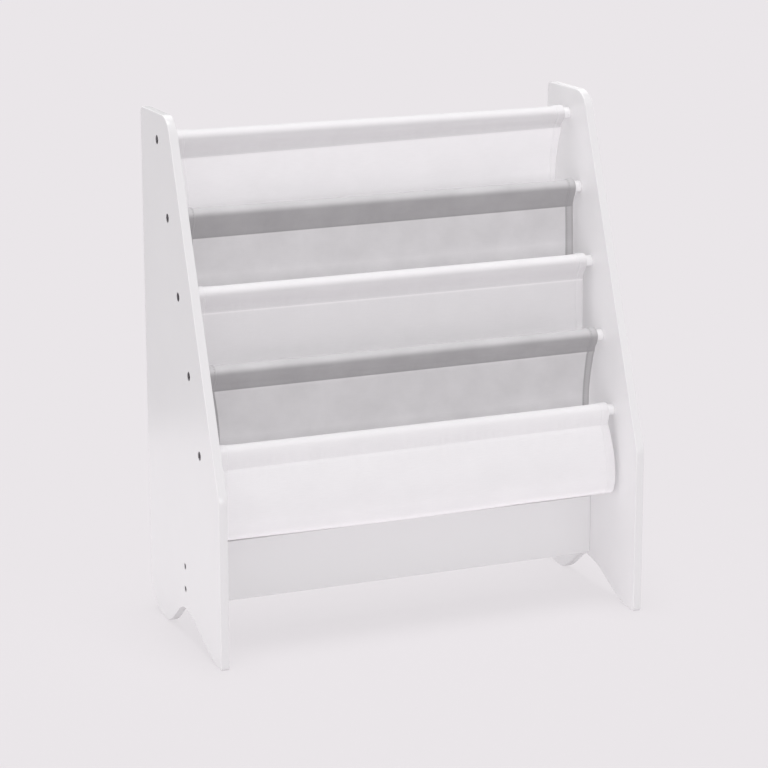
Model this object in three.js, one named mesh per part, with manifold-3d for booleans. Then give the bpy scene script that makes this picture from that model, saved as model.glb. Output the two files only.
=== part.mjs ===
// A child's sling bookshelf: two side panels, a stretcher board, five rods and five sewn cloth slings.
// Millimetres. X runs across the shelf, Y to the back, Z up. The floor is Z = 0 and the origin is
// the middle of the footprint.
import * as THREE from 'three';
import { mergeVertices } from 'three/addons/utils/BufferGeometryUtils.js';
import Module from 'manifold-3d';

const wasm = await Module();
wasm.setup();

// Driving dimensions
const width = 620;
const depth = 290;
const height = 705;
const fitGap = 0.3;
const cutOverrun = 2;
const weldDistance = 0.0005;

const panel = {
  thickness: 12,
  topDepth: 112,
  frontHeight: 232.5,
  topCornerRadius: 34,
  rearTopRadius: 8,
  frontCornerRadius: 40,
  rearFootRadius: 57,
  footToeRadius: 3,
  frontFootFlat: 10,
  rearFootFlat: 6,
  archRise: 41.5,
  archRearRun: 82,
  edgeBevel: 1.2,
};

const rod = {
  count: 5,
  diameter: 16,
  pitch: 105.7,
  firstDrop: 36,
  setback: 54.5,
  endChamfer: 0.8,
};

const stretcher = {
  thickness: 15,
  height: 84,
  bottom: 47.5,
  centreY: -3.5,
  edgeBevel: 1.2,
};

const rodScrew = {
  headDiameter: 11,
  headTaper: 3.4,
  headRim: 0.8,
  headSink: 0.9,
  shankDiameter: 5,
  length: 42,
  tipLength: 4,
};

const stretcherScrew = {
  headDiameter: 8,
  headTaper: 2.4,
  headRim: 0.6,
  headSink: 0.8,
  shankDiameter: 4,
  length: 45,
  tipLength: 3.5,
  lowerRise: 22.5,
  spacing: 32,
};

const cloth = {
  thickness: 1.5,
  sleeveLoose: 0.9,
  endClearance: 11,
  seamDrop: 22,
  seamHeight: 3,
  pocketDrop: 117.5,
  pocketTurn: 24,
  legSpread: 2.5,
  middleSag: 2,
  drawReach: 70,
};

// The lowest sling is the front of the shelf: it bellies forward of its rod.
const frontSling = {
  seamForward: 10,
  bellyForward: 12,
  turnHeight: 35,
};

// How far each sling's side edges draw in below its seam, from the top rod down, and the power of
// the distance from the middle by which the draw-in grows.
const edgeDrawIn = [10, 1, 2, 10, 3];
const edgeDrawPower = 6;

// Counts of facets
const panelBevelSteps = 2;
const stretcherBevelSteps = 1;
const leastArcSteps = 3;
const arcSteps = 12;
const waveSteps = 14;
const rodSides = 24;
const screwSides = 16;
const sleeveSteps = 12;
const wallSteps = 3;
const turnSteps = 6;
const clothSpans = 8;

// Finishes
const whitePaint = new THREE.MeshStandardMaterial({ color: 0xe9e8ea, roughness: 0.45, metalness: 0 });
const whiteCloth = new THREE.MeshStandardMaterial({ color: 0xeceaee, roughness: 0.9, metalness: 0 });
const greyCloth = new THREE.MeshStandardMaterial({ color: 0xb4b3b6, roughness: 0.9, metalness: 0 });
const darkSteel = new THREE.MeshStandardMaterial({ color: 0x5a5a5e, roughness: 0.4, metalness: 1 });

// Places that follow from the sizes
const rearY = depth / 2;
const frontY = -depth / 2;
const outerX = width / 2;
const innerX = outerX - panel.thickness;
const slopeTopY = rearY - panel.topDepth;
const slope = new THREE.Vector2(frontY - slopeTopY, panel.frontHeight - height).normalize();
const slopeInward = new THREE.Vector2(-slope.y, slope.x);
const stretcherTop = stretcher.bottom + stretcher.height;

// Turns a shape drawn with Y to the right and Z up, and extruded along its own third axis, so that
// the extrusion runs along X.
const acrossShelf = new THREE.Matrix4().makeBasis(
  new THREE.Vector3(0, 1, 0),
  new THREE.Vector3(0, 0, 1),
  new THREE.Vector3(1, 0, 0),
);

// Merges shared vertices and drops the triangles that a lathe leaves folded up on its axis.
function welded(geometry) {
  const bare = geometry.clone();
  bare.deleteAttribute('normal');
  bare.deleteAttribute('uv');
  const merged = mergeVertices(bare, weldDistance);
  const corners = merged.index.array;
  const kept = [];
  for (let i = 0; i < corners.length; i += 3) {
    const [a, b, c] = corners.slice(i, i + 3);
    if (a !== b && b !== c && c !== a) kept.push(a, b, c);
  }
  merged.setIndex(kept);
  return merged;
}

function toSolid(geometry) {
  const closed = welded(geometry);
  return new wasm.Manifold(new wasm.Mesh({
    numProp: 3,
    vertProperties: new Float32Array(closed.attributes.position.array),
    triVerts: new Uint32Array(closed.index.array),
  }));
}

function fromSolid(solid) {
  const mesh = solid.getMesh();
  const geometry = new THREE.BufferGeometry();
  geometry.setAttribute('position', new THREE.BufferAttribute(mesh.vertProperties, 3));
  geometry.setIndex(new THREE.BufferAttribute(mesh.triVerts, 1));
  return geometry;
}

function cutAway(geometry, cutters) {
  let solid = toSolid(geometry);
  for (const cutter of cutters) solid = solid.subtract(toSolid(cutter));
  return fromSolid(solid);
}

// A turned body whose axis lies along +X, from a profile of [distance along the axis, radius] pairs.
function turned(profile, sides) {
  const points = profile.map(([along, radius]) => new THREE.Vector2(radius, along));
  const geometry = new THREE.LatheGeometry(points, sides);
  return geometry.rotateZ(-Math.PI / 2);
}

// Where rod number i sits, as a point in Y and Z: down the slope from the first, one pitch each.
function rodCentre(i) {
  const firstY = slopeTopY + slope.x * (rod.firstDrop / -slope.y);
  const first = new THREE.Vector2(firstY, height - rod.firstDrop);
  first.x += rod.setback / slopeInward.x;
  return first.addScaledVector(slope, rod.pitch * i);
}

// Rounds the corner at point b between the straight lines to a and c.
function roundedCorner(a, b, c, radius) {
  const toA = a.clone().sub(b).normalize();
  const toC = c.clone().sub(b).normalize();
  const half = Math.acos(toA.dot(toC)) / 2;
  const reach = Math.min(radius / Math.tan(half), a.distanceTo(b) / 2, c.distanceTo(b) / 2);
  const trueRadius = reach * Math.tan(half);
  const centre = b.clone().addScaledVector(toA.clone().add(toC).normalize(), trueRadius / Math.sin(half));
  const start = b.clone().addScaledVector(toA, reach).sub(centre);
  const end = b.clone().addScaledVector(toC, reach).sub(centre);
  const from = Math.atan2(start.y, start.x);
  const sweep = Math.atan2(start.x * end.y - start.y * end.x, start.dot(end));
  const steps = Math.max(leastArcSteps, Math.round(arcSteps * Math.abs(sweep) / (Math.PI / 2)));
  const points = [];
  for (let i = 0; i <= steps; i++) {
    const angle = from + sweep * i / steps;
    points.push(new THREE.Vector2(Math.cos(angle), Math.sin(angle)).multiplyScalar(trueRadius).add(centre));
  }
  return points;
}

// Half a cosine wave from one point to another, level at both ends, without its first point.
function halfWave(from, to) {
  const points = [];
  for (let i = 1; i <= waveSteps; i++) {
    const share = i / waveSteps;
    const rise = (1 - Math.cos(Math.PI * share)) / 2;
    points.push(new THREE.Vector2(from.x + (to.x - from.x) * share, from.y + (to.y - from.y) * rise));
  }
  return points;
}

// The side panel's outline, drawn round from the front toe: the foot, the wave between the feet,
// the rounded rear foot, the upright rear edge, the top and the sloping front edge.
function panelOutline() {
  const frontToe = new THREE.Vector2(frontY, 0);
  const frontHeel = new THREE.Vector2(frontY + panel.frontFootFlat, 0);
  const rearCorner = new THREE.Vector2(rearY, 0);
  const rearHeel = new THREE.Vector2(rearY - panel.rearFootRadius - panel.rearFootFlat, 0);
  const apex = new THREE.Vector2(rearHeel.x - panel.archRearRun, panel.archRise);
  const rearTop = new THREE.Vector2(rearY, height);
  const slopeTop = new THREE.Vector2(slopeTopY, height);
  const slopeFoot = new THREE.Vector2(frontY, panel.frontHeight);
  return [
    ...roundedCorner(slopeFoot, frontToe, frontHeel, panel.footToeRadius),
    frontHeel,
    ...halfWave(frontHeel, apex),
    ...halfWave(apex, rearHeel),
    ...roundedCorner(rearHeel, rearCorner, rearTop, panel.rearFootRadius),
    ...roundedCorner(rearCorner, rearTop, slopeTop, panel.rearTopRadius),
    ...roundedCorner(rearTop, slopeTop, slopeFoot, panel.topCornerRadius),
    ...roundedCorner(slopeTop, slopeFoot, frontToe, panel.frontCornerRadius),
  ];
}

// The radius and depth of a countersunk screw, from the outside face of a panel inwards.
function screwProfile(screw) {
  const head = screw.headDiameter / 2;
  const shank = screw.shankDiameter / 2;
  const rimEnd = screw.headSink + screw.headRim;
  const neck = rimEnd + screw.headTaper;
  const tip = screw.headSink + screw.length;
  return [
    [screw.headSink, 0],
    [screw.headSink, head],
    [rimEnd, head],
    [neck, shank],
    [tip - screw.tipLength, shank],
    [tip, 0],
  ];
}

// The hole for that screw in the panel: the same profile one fit gap wider, open at both faces.
function screwHoleProfile(screw) {
  const head = screw.headDiameter / 2 + fitGap;
  const shank = screw.shankDiameter / 2 + fitGap;
  const rimEnd = screw.headSink + screw.headRim + fitGap;
  const neck = rimEnd + screw.headTaper;
  return [
    [-cutOverrun, 0],
    [-cutOverrun, head],
    [rimEnd, head],
    [neck, shank],
    [panel.thickness + cutOverrun, shank],
    [panel.thickness + cutOverrun, 0],
  ];
}

// How deep a screw's pilot bore goes into a piece that starts at the panel's inner face.
function boreDepth(screw) {
  return screw.headSink + screw.length - panel.thickness + fitGap;
}

// Moves a body made at X = 0, pointing along +X, to the outside face of one of the two panels.
function atPanelFace(geometry, side, y, z) {
  const placed = geometry.clone();
  if (side > 0) placed.rotateZ(Math.PI);
  return placed.translate(side * outerX, y, z);
}

// The places of the screws in each panel: one for each rod and two for the stretcher.
const rodScrewPlaces = Array.from({ length: rod.count }, (_, i) => rodCentre(i));
const stretcherScrewPlaces = [0, 1].map((i) => new THREE.Vector2(
  stretcher.centreY,
  stretcher.bottom + stretcherScrew.lowerRise + stretcherScrew.spacing * i,
));

function sidePanel(side) {
  const shape = new THREE.Shape(panelOutline());
  const board = new THREE.ExtrudeGeometry(shape, {
    depth: panel.thickness - 2 * panel.edgeBevel,
    bevelThickness: panel.edgeBevel,
    bevelSize: panel.edgeBevel,
    bevelOffset: -panel.edgeBevel,
    bevelSegments: panelBevelSteps,
  });
  board.translate(0, 0, panel.edgeBevel - panel.thickness / 2).applyMatrix4(acrossShelf);
  board.translate(side * (outerX - panel.thickness / 2), 0, 0);
  const holes = [];
  for (const place of rodScrewPlaces) {
    holes.push(atPanelFace(turned(screwHoleProfile(rodScrew), screwSides), side, place.x, place.y));
  }
  for (const place of stretcherScrewPlaces) {
    holes.push(atPanelFace(turned(screwHoleProfile(stretcherScrew), screwSides), side, place.x, place.y));
  }
  return cutAway(board, holes);
}

// A screw's blind pilot bore, from just outside the inner face of the panel inwards along +X.
function pilotBore(screw) {
  const radius = screw.shankDiameter / 2 + fitGap;
  return turned([
    [panel.thickness - cutOverrun, 0],
    [panel.thickness - cutOverrun, radius],
    [panel.thickness + boreDepth(screw), radius],
    [panel.thickness + boreDepth(screw), 0],
  ], screwSides);
}

function stretcherBoard() {
  const length = 2 * (innerX - fitGap);
  const outline = new THREE.Shape([
    new THREE.Vector2(stretcher.centreY - stretcher.thickness / 2, stretcher.bottom),
    new THREE.Vector2(stretcher.centreY + stretcher.thickness / 2, stretcher.bottom),
    new THREE.Vector2(stretcher.centreY + stretcher.thickness / 2, stretcherTop),
    new THREE.Vector2(stretcher.centreY - stretcher.thickness / 2, stretcherTop),
  ]);
  const board = new THREE.ExtrudeGeometry(outline, {
    depth: length - 2 * stretcher.edgeBevel,
    bevelThickness: stretcher.edgeBevel,
    bevelSize: stretcher.edgeBevel,
    bevelOffset: -stretcher.edgeBevel,
    bevelSegments: stretcherBevelSteps,
  });
  board.translate(0, 0, stretcher.edgeBevel - length / 2).applyMatrix4(acrossShelf);
  const bores = [];
  for (const side of [-1, 1]) {
    for (const place of stretcherScrewPlaces) {
      bores.push(atPanelFace(pilotBore(stretcherScrew), side, place.x, place.y));
    }
  }
  return cutAway(board, bores);
}

// A rod, turned about its own axis, with a blind pilot bore in each end.
function rodBody() {
  const end = innerX - fitGap;
  const radius = rod.diameter / 2;
  const bore = rodScrew.shankDiameter / 2 + fitGap;
  const boreEnd = innerX - boreDepth(rodScrew);
  return turned([
    [-boreEnd, 0],
    [-boreEnd, bore],
    [-end, bore],
    [-end, radius - rod.endChamfer],
    [-end + rod.endChamfer, radius],
    [end - rod.endChamfer, radius],
    [end, radius - rod.endChamfer],
    [end, bore],
    [boreEnd, bore],
    [boreEnd, 0],
  ], rodSides);
}

// The arc of a sleeve over the top of its rod, between the two lines that leave the circle and meet
// at the seam: points from the front line, over the top, to the rear line.
function sleeveArc(radius, frontEnd, rearEnd) {
  const frontAngle = Math.atan2(frontEnd.y, frontEnd.x) - Math.acos(radius / frontEnd.length());
  const rearAngle = Math.atan2(rearEnd.y, rearEnd.x) + Math.acos(radius / rearEnd.length());
  const sweep = frontAngle + 2 * Math.PI - rearAngle;
  const points = [];
  for (let i = 0; i <= sleeveSteps; i++) {
    const angle = frontAngle - sweep * i / sleeveSteps;
    points.push(new THREE.Vector2(Math.cos(angle) * radius, Math.sin(angle) * radius));
  }
  return points;
}

// The middle line of one hanging wall: from its seam it eases out to the wall's own plane, drops to
// where the pocket turns, and follows a quarter of an ellipse to the bottom of the pocket.
function wallLine(top, wallY, turnZ, bottom) {
  const points = [top];
  for (let i = 1; i <= wallSteps; i++) {
    const share = i / wallSteps;
    const ease = Math.sin(share * Math.PI / 2);
    points.push(new THREE.Vector2(top.x + (wallY - top.x) * ease, top.y + (turnZ - top.y) * share));
  }
  for (let i = 1; i <= turnSteps; i++) {
    const angle = i / turnSteps * Math.PI / 2;
    points.push(new THREE.Vector2(
      bottom.x + (wallY - bottom.x) * Math.cos(angle),
      turnZ + (bottom.y - turnZ) * Math.sin(angle),
    ));
  }
  return points;
}

// The two long sides of a strip of cloth about a middle line that runs downwards: rear and front.
// The first pair is level, so that it meets the seam's flat underside.
function stripSides(line) {
  const half = cloth.thickness / 2;
  const rear = [];
  const front = [];
  for (let i = 0; i < line.length; i++) {
    const before = line[Math.max(i - 1, 0)];
    const after = line[Math.min(i + 1, line.length - 1)];
    const along = after.clone().sub(before).normalize();
    const aside = i === 0 ? new THREE.Vector2(1, 0) : new THREE.Vector2(-along.y, along.x);
    rear.push(line[i].clone().addScaledVector(aside, half));
    front.push(line[i].clone().addScaledVector(aside, -half));
  }
  return { rear, front };
}

// Where the seam below rod i lies, as a distance behind the rod's axis.
function seamOffset(i) {
  return i === rod.count - 1 ? -frontSling.seamForward : 0;
}

// The pocket between rod i and rod i + 1: the planes of its two walls and its lowest line.
function pocket(i) {
  const rear = rodCentre(i);
  const front = rodCentre(i + 1);
  const isFront = i + 1 === rod.count - 1;
  const belly = isFront ? frontSling.bellyForward : -cloth.legSpread;
  const rearWall = rear.x + seamOffset(i) - cloth.legSpread;
  const frontWall = front.x + seamOffset(i + 1) - belly;
  const bottomZ = front.y - cloth.pocketDrop;
  return {
    rearWall,
    frontWall,
    middleY: (rearWall + frontWall) / 2,
    bottomZ,
    turnZ: bottomZ + (isFront ? frontSling.turnHeight : cloth.pocketTurn),
  };
}

// The section of sling i in Y and Z: a sleeve round the rod, the seam under it, and below the seam
// the front wall of the pocket behind and the rear wall of the pocket in front.
function slingSection(i) {
  const axis = rodCentre(i);
  const layer = cloth.thickness;
  const innerRadius = rod.diameter / 2 + cloth.sleeveLoose;
  const outerRadius = innerRadius + layer;
  const seamY = seamOffset(i);
  const seamTop = -cloth.seamDrop;
  const seamFoot = seamTop - cloth.seamHeight;
  const wallCount = i === 0 || i === rod.count - 1 ? 1 : 2;
  const lines = [];
  if (i > 0) {
    const { frontWall, middleY, turnZ, bottomZ } = pocket(i - 1);
    const top = new THREE.Vector2(seamY + (wallCount - 1) * layer / 2, seamFoot).add(axis);
    const bottom = new THREE.Vector2(middleY - fitGap / 2, bottomZ);
    lines.push(wallLine(top, frontWall, turnZ, bottom));
  }
  if (i < rod.count - 1) {
    const { rearWall, middleY, turnZ, bottomZ } = pocket(i);
    const top = new THREE.Vector2(seamY - (wallCount - 1) * layer / 2, seamFoot).add(axis);
    const bottom = new THREE.Vector2(middleY + fitGap / 2, bottomZ);
    lines.push(wallLine(top, rearWall, turnZ, bottom));
  }
  const seamRear = new THREE.Vector2(seamY + layer, seamTop);
  const seamFront = new THREE.Vector2(seamY - layer, seamTop);
  const outline = sleeveArc(outerRadius, seamFront, seamRear).map((point) => point.add(axis));
  outline.push(seamRear.clone().add(axis), new THREE.Vector2(seamRear.x, seamFoot).add(axis));
  lines.forEach((line, number) => {
    const { rear, front } = stripSides(line);
    const isLast = number === lines.length - 1;
    const descent = wallCount === 1 ? rear : rear.slice(1);
    const climb = wallCount === 1 || !isLast ? front : front.slice(1);
    outline.push(...descent, ...climb.reverse());
  });
  outline.push(new THREE.Vector2(seamFront.x, seamFoot).add(axis), seamFront.clone().add(axis));
  const section = new THREE.Shape(outline);
  const pinch = new THREE.Vector2(seamY, seamTop + layer);
  const tunnel = sleeveArc(innerRadius, pinch, pinch).map((point) => point.add(axis));
  tunnel.push(pinch.clone().add(axis));
  section.holes.push(new THREE.Path(tunnel.reverse()));
  return section;
}

// A sling: its section drawn out between the panels, then hung. Below the seam the side edges draw
// in, most at the very ends, and the middle of the span sags.
function slingBody(i) {
  const halfLength = innerX - cloth.endClearance;
  const body = new THREE.ExtrudeGeometry(slingSection(i), {
    depth: 2 * halfLength,
    steps: clothSpans,
    bevelEnabled: false,
  });
  body.translate(0, 0, -halfLength).applyMatrix4(acrossShelf);
  const seamZ = rodCentre(i).y - cloth.seamDrop - cloth.seamHeight;
  const places = body.attributes.position;
  for (let n = 0; n < places.count; n++) {
    const across = places.getX(n) / halfLength;
    const below = THREE.MathUtils.clamp((seamZ - places.getZ(n)) / cloth.drawReach, 0, 1);
    const fromMiddle = Math.pow(Math.abs(across), edgeDrawPower);
    const drawIn = edgeDrawIn[i] * Math.sin(below * Math.PI / 2) * fromMiddle;
    places.setX(n, places.getX(n) - Math.sign(across) * drawIn);
    places.setZ(n, places.getZ(n) - cloth.middleSag * below * (1 - across * across));
  }
  return welded(body);
}

// The assembly
const shelf = new THREE.Group();

function add(name, geometry, material) {
  const mesh = new THREE.Mesh(geometry, material);
  mesh.name = name;
  shelf.add(mesh);
  return mesh;
}

const sides = [['left', -1], ['right', 1]];

for (const [sideName, side] of sides) add(`side_panel_${sideName}`, sidePanel(side), whitePaint);

add('stretcher', stretcherBoard(), whitePaint);

for (let i = 0; i < rod.count; i++) {
  const centre = rodCentre(i);
  add(`rod_${i + 1}`, welded(rodBody()), whitePaint).position.set(0, centre.x, centre.y);
}

for (let i = 0; i < rod.count; i++) {
  add(`sling_${i + 1}`, slingBody(i), i % 2 ? greyCloth : whiteCloth);
}

for (const [sideName, side] of sides) {
  rodScrewPlaces.forEach((place, i) => {
    const screw = atPanelFace(welded(turned(screwProfile(rodScrew), screwSides)), side, place.x, place.y);
    add(`rod_screw_${sideName}_${i + 1}`, screw, darkSteel);
  });
  stretcherScrewPlaces.forEach((place, i) => {
    const profile = screwProfile(stretcherScrew);
    const screw = atPanelFace(welded(turned(profile, screwSides)), side, place.x, place.y);
    add(`stretcher_screw_${sideName}_${i + 1}`, screw, darkSteel);
  });
}

export default shelf;
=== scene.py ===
"""A child's sling bookshelf, dressed around its packed construction.

Two painted side panels carry five round rods and a low stretcher board. Five sewn cloth slings
hang from the rods and make four pockets. Lengths are in metres. X runs across the shelf, Y to the
back and Z up, and the origin is the middle of the footprint on the floor.
"""

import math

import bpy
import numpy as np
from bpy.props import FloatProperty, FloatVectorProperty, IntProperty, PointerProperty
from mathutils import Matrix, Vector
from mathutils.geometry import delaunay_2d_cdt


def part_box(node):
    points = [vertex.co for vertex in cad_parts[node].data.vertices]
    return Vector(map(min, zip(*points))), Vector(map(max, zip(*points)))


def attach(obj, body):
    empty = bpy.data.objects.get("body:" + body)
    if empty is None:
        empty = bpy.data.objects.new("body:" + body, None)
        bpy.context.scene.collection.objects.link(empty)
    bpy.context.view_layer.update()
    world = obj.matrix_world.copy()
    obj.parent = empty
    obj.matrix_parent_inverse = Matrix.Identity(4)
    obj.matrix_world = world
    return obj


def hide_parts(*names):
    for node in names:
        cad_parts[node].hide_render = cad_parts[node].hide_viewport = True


bl_info = {
    "name": "Sling Bookshelf",
    "version": (1, 0, 0),
    "blender": (4, 5, 0),
    "location": "View3D > Sidebar > Bookshelf",
    "description": "Builds a child's sling bookshelf with sewn cloth pockets on a plain stage",
    "category": "Add Mesh",
}

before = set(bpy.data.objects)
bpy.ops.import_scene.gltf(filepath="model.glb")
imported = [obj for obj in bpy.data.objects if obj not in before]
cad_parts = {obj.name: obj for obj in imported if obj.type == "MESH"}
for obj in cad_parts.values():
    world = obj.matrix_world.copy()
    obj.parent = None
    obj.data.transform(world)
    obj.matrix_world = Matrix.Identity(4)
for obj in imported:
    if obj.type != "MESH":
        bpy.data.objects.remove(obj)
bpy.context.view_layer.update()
ROOT = "root"
ROD_COUNT = 5
RODS = range(1, ROD_COUNT + 1)
SIDES = {"left": -1, "right": 1}


def length(name, description, default):
    """A size in metres that the sidebar shows."""
    return FloatProperty(
        name=name, description=description, default=default, min=0.0, precision=4, unit="LENGTH")


def share(name, description, default):
    """A plain number without a unit."""
    return FloatProperty(name=name, description=description, default=default, min=0.0, precision=3)


def whole(name, description, default):
    """A whole number."""
    return IntProperty(name=name, description=description, default=default, min=1)


def angle(name, description, degrees):
    """An angle, given here in degrees."""
    return FloatProperty(
        name=name, description=description, default=math.radians(degrees), subtype="ANGLE")


def colour(name, description, default):
    """A linear colour."""
    return FloatVectorProperty(
        name=name, description=description, default=default, size=3, subtype="COLOR", min=0.0, max=1.0)


class ShelfPanelSizes(bpy.types.PropertyGroup):
    """The outline of a side panel, the rounding of the boards' edges, and the painted shade and highlight on
    the panels' edges.
    """

    top_depth: length("Top depth", "Depth of the panel along its top edge", 0.112)
    front_height: length("Front height", "Height at which the slope meets the upright front edge", 0.2325)
    top_corner: length("Top corner", "Radius between the top and the slope", 0.034)
    rear_corner: length("Rear corner", "Radius between the rear edge and the top", 0.008)
    front_corner: length("Front corner", "Radius between the slope and the front edge", 0.040)
    heel: length("Heel", "Radius below the rear edge", 0.057)
    toe: length("Toe", "Radius at the front foot", 0.003)
    front_foot: length("Front foot", "Flat length of the front foot", 0.010)
    rear_foot: length("Rear foot", "Flat length of the rear foot", 0.006)
    wave_rise: length("Wave rise", "Height of the wave between the feet", 0.0415)
    wave_rear_run: length("Wave rear run", "From the top of the wave to the rear foot", 0.082)
    edge_rounding: length("Edge rounding", "Radius along all edges of the boards", 0.0014)
    # The two edge tones are painted light: the sloping and upright edges darker as painted shade, and the
    # level top edge lighter as a painted highlight from the lamp above.
    front_edge_shade: share("Front edge tone", "How light the paint on the sloping edges is", 0.87)
    top_edge_highlight: share("Top edge tone", "How light the paint on the top edge is", 1.15)
    outline_step: length("Outline step", "Spacing of the points along an outline", 0.0015)
    rounding_steps: whole("Rounding steps", "Facets of a rounded edge", 5)


class ShelfScrewSizes(bpy.types.PropertyGroup):
    """The countersunk screws through the panels, and how round they and the rods are."""

    rod_head: length("Rod screw head", "Head diameter of the screws into the rods", 0.0117)
    rod_shank: length("Rod screw shank", "Shank diameter of the screws into the rods", 0.005)
    rod_sink: length("Rod screw sink", "Depth of the head below the panel's face", 0.0005)
    rod_rim: length("Rod screw rim", "Straight rim of the head", 0.0008)
    rod_taper: length("Rod screw taper", "Depth of the head's cone", 0.0034)
    rod_socket: length("Rod screw socket", "Width across the flats of the socket", 0.0044)
    board_head: length("Board screw head", "Head diameter of the screws into the stretcher", 0.008)
    board_shank: length("Board screw shank", "Shank diameter of the screws into the stretcher", 0.004)
    board_sink: length("Board screw sink", "Depth of the head below the panel's face", 0.0008)
    board_rim: length("Board screw rim", "Straight rim of the head", 0.0006)
    board_taper: length("Board screw taper", "Depth of the head's cone", 0.0024)
    board_socket: length("Board screw socket", "Width across the flats of the socket", 0.0032)
    socket_depth: length("Socket depth", "Depth of the hexagonal socket", 0.0024)
    hole_gap: length("Hole gap", "Gap between a screw and its hole", 0.0003)
    head_break: length("Head break", "Rounding at the edge of a head", 0.0003)
    sides: whole("Sides", "Facets round a screw or hole", 48)
    rod_sides: whole("Rod sides", "Facets round a rod", 64)


class ShelfClothSizes(bpy.types.PropertyGroup):
    """The sewn cloth slings."""

    thickness: length("Thickness", "Thickness of one layer of cloth", 0.0011)
    sleeve_gap: length("Sleeve gap", "From the rod to the middle of the cloth round it", 0.00165)
    end_clearance: length("End clearance", "Bare rod between a sleeve and the panel", 0.011)
    sleeve_fullness: angle("Sleeve fullness", "How far up a rod a sleeve's sides cling to it", 9)
    layer_gap: length("Layer gap", "From the middle of a seam to the middle of each layer", 0.0006)
    seam_height: length("Seam height", "Height over which both layers are sewn flat", 0.003)
    allowance: length("Allowance", "Loose edge of a strip below its seam", 0.004)
    pocket_drop: length("Pocket drop", "From the front rod's axis to the bottom of its pocket", 0.1175)
    pocket_turn: length("Pocket turn", "Height over which a wall turns into the bottom", 0.024)
    wall_spread: length("Wall spread", "From the seam's plane to each wall below it", 0.0025)
    middle_sag: length("Middle sag", "How far the middle of the span sinks", 0.002)
    draw_reach: length("Draw reach", "Height over which the side edges draw in", 0.070)
    bottom_allowance: length("Bottom allowance", "Sewn edges that stand up inside a pocket", 0.007)
    front_seam_forward: length("Front seam forward", "Place of the lowest seam ahead of its rod", 0.010)
    front_belly: length("Front belly", "How far the front wall swells ahead of its seam", 0.012)
    front_turn: length("Front turn", "Height over which the front wall turns under", 0.035)
    front_roll: length("Front roll", "How far the front wall rolls out just below its seam", 0.0016)
    # A painted highlight: the front sling's folded lower edge is lighter where its cloth faces down.
    fold_highlight: share("Fold tone", "How much lighter the front sling's folded lower edge is", 0.16)
    front_squareness: share("Front squareness", "2 where the front wall turns under as an ellipse", 3.4)
    hem_width: length("Hem width", "Width of the turned side hems", 0.012)
    hem_rise: length("Hem rise", "How far a hem stands above the cloth", 0.0005)
    sleeve_puff: length("Sleeve puff", "How far a sleeve's ends swell", 0.0008)
    stitch_pitch: length("Stitch pitch", "Spacing of the stitches", 0.0034)
    stitch_length: length("Stitch length", "Length of one stitch", 0.0027)
    thread: length("Thread", "Diameter of the sewing thread", 0.0005)
    wave_height: length("Wave height", "Height of the slack waves in a wall", 0.0013)
    wave_width: length("Wave width", "Spacing of the slack waves along the shelf", 0.085)
    pucker_height: length("Pucker height", "Height of the puckers beside a seam", 0.00035)
    pucker_width: length("Pucker width", "Spacing of the puckers along a seam", 0.008)
    yarn: length("Yarn", "Spacing of the yarns in the weave", 0.00075)
    column_step: length("Column step", "Spacing of the points along the shelf", 0.0027)
    row_step: length("Row step", "Spacing of the points down a wall", 0.0026)
    fine_row_step: length("Fine row step", "Spacing of the points round a sleeve", 0.0011)


class ShelfColours(bpy.types.PropertyGroup):
    """The colours of the finishes and how uneven they are."""

    paint: colour("Paint", "Satin white paint on the boards", (0.815, 0.803, 0.815))
    # The low board's paint is darker than the panels' as painted shade under the slings.
    board_shaded_paint: colour("Board paint", "The paint on the low board, a little duller", (0.75, 0.741, 0.75))
    rod_paint: colour("Rod paint", "Semi-gloss white paint on the rods", (0.83, 0.82, 0.83))
    board_roughness: share("Board roughness", "Roughness of the boards' paint", 0.24)
    rod_roughness: share("Rod roughness", "Roughness of the rods' paint", 0.3)
    # A doubled colour is darker than the single one as painted shade: a single layer's colour takes in the
    # light that comes through it from behind, and a doubled layer's has none.
    white_cloth: colour("White cloth", "One layer of the white canvas", (0.813, 0.797, 0.813))
    white_doubled_shade: colour("White doubled", "White canvas where it lies double", (0.64, 0.626, 0.64))
    grey_cloth: colour("Grey cloth", "One layer of the grey canvas", (0.613, 0.60, 0.613))
    grey_doubled_shade: colour("Grey doubled", "Grey canvas where it lies double", (0.333, 0.325, 0.333))
    white_thread: colour("White thread", "Thread in the white slings", (0.80, 0.78, 0.80))
    grey_thread: colour("Grey thread", "Thread in the grey slings", (0.27, 0.26, 0.27))
    steel: colour("Steel", "Dark zinc of the screws", (0.16, 0.15, 0.16))
    # How much of the doubled colour's painted shade the hems take.
    white_hem: share("White hem", "How doubled the hems of the white slings look", 0.08)
    grey_hem: share("Grey hem", "How doubled the hems of the grey slings look", 0.76)
    white_clouds: share("White clouds", "How far the tone of the white canvas wanders", 0.032)
    grey_clouds: share("Grey clouds", "How far the tone of the grey canvas wanders", 0.12)
    floor: colour("Floor", "Pale floor and background", (0.80, 0.77, 0.792))
    card: colour("Card", "Dark card behind the shelf", (0.20, 0.20, 0.20))


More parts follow.
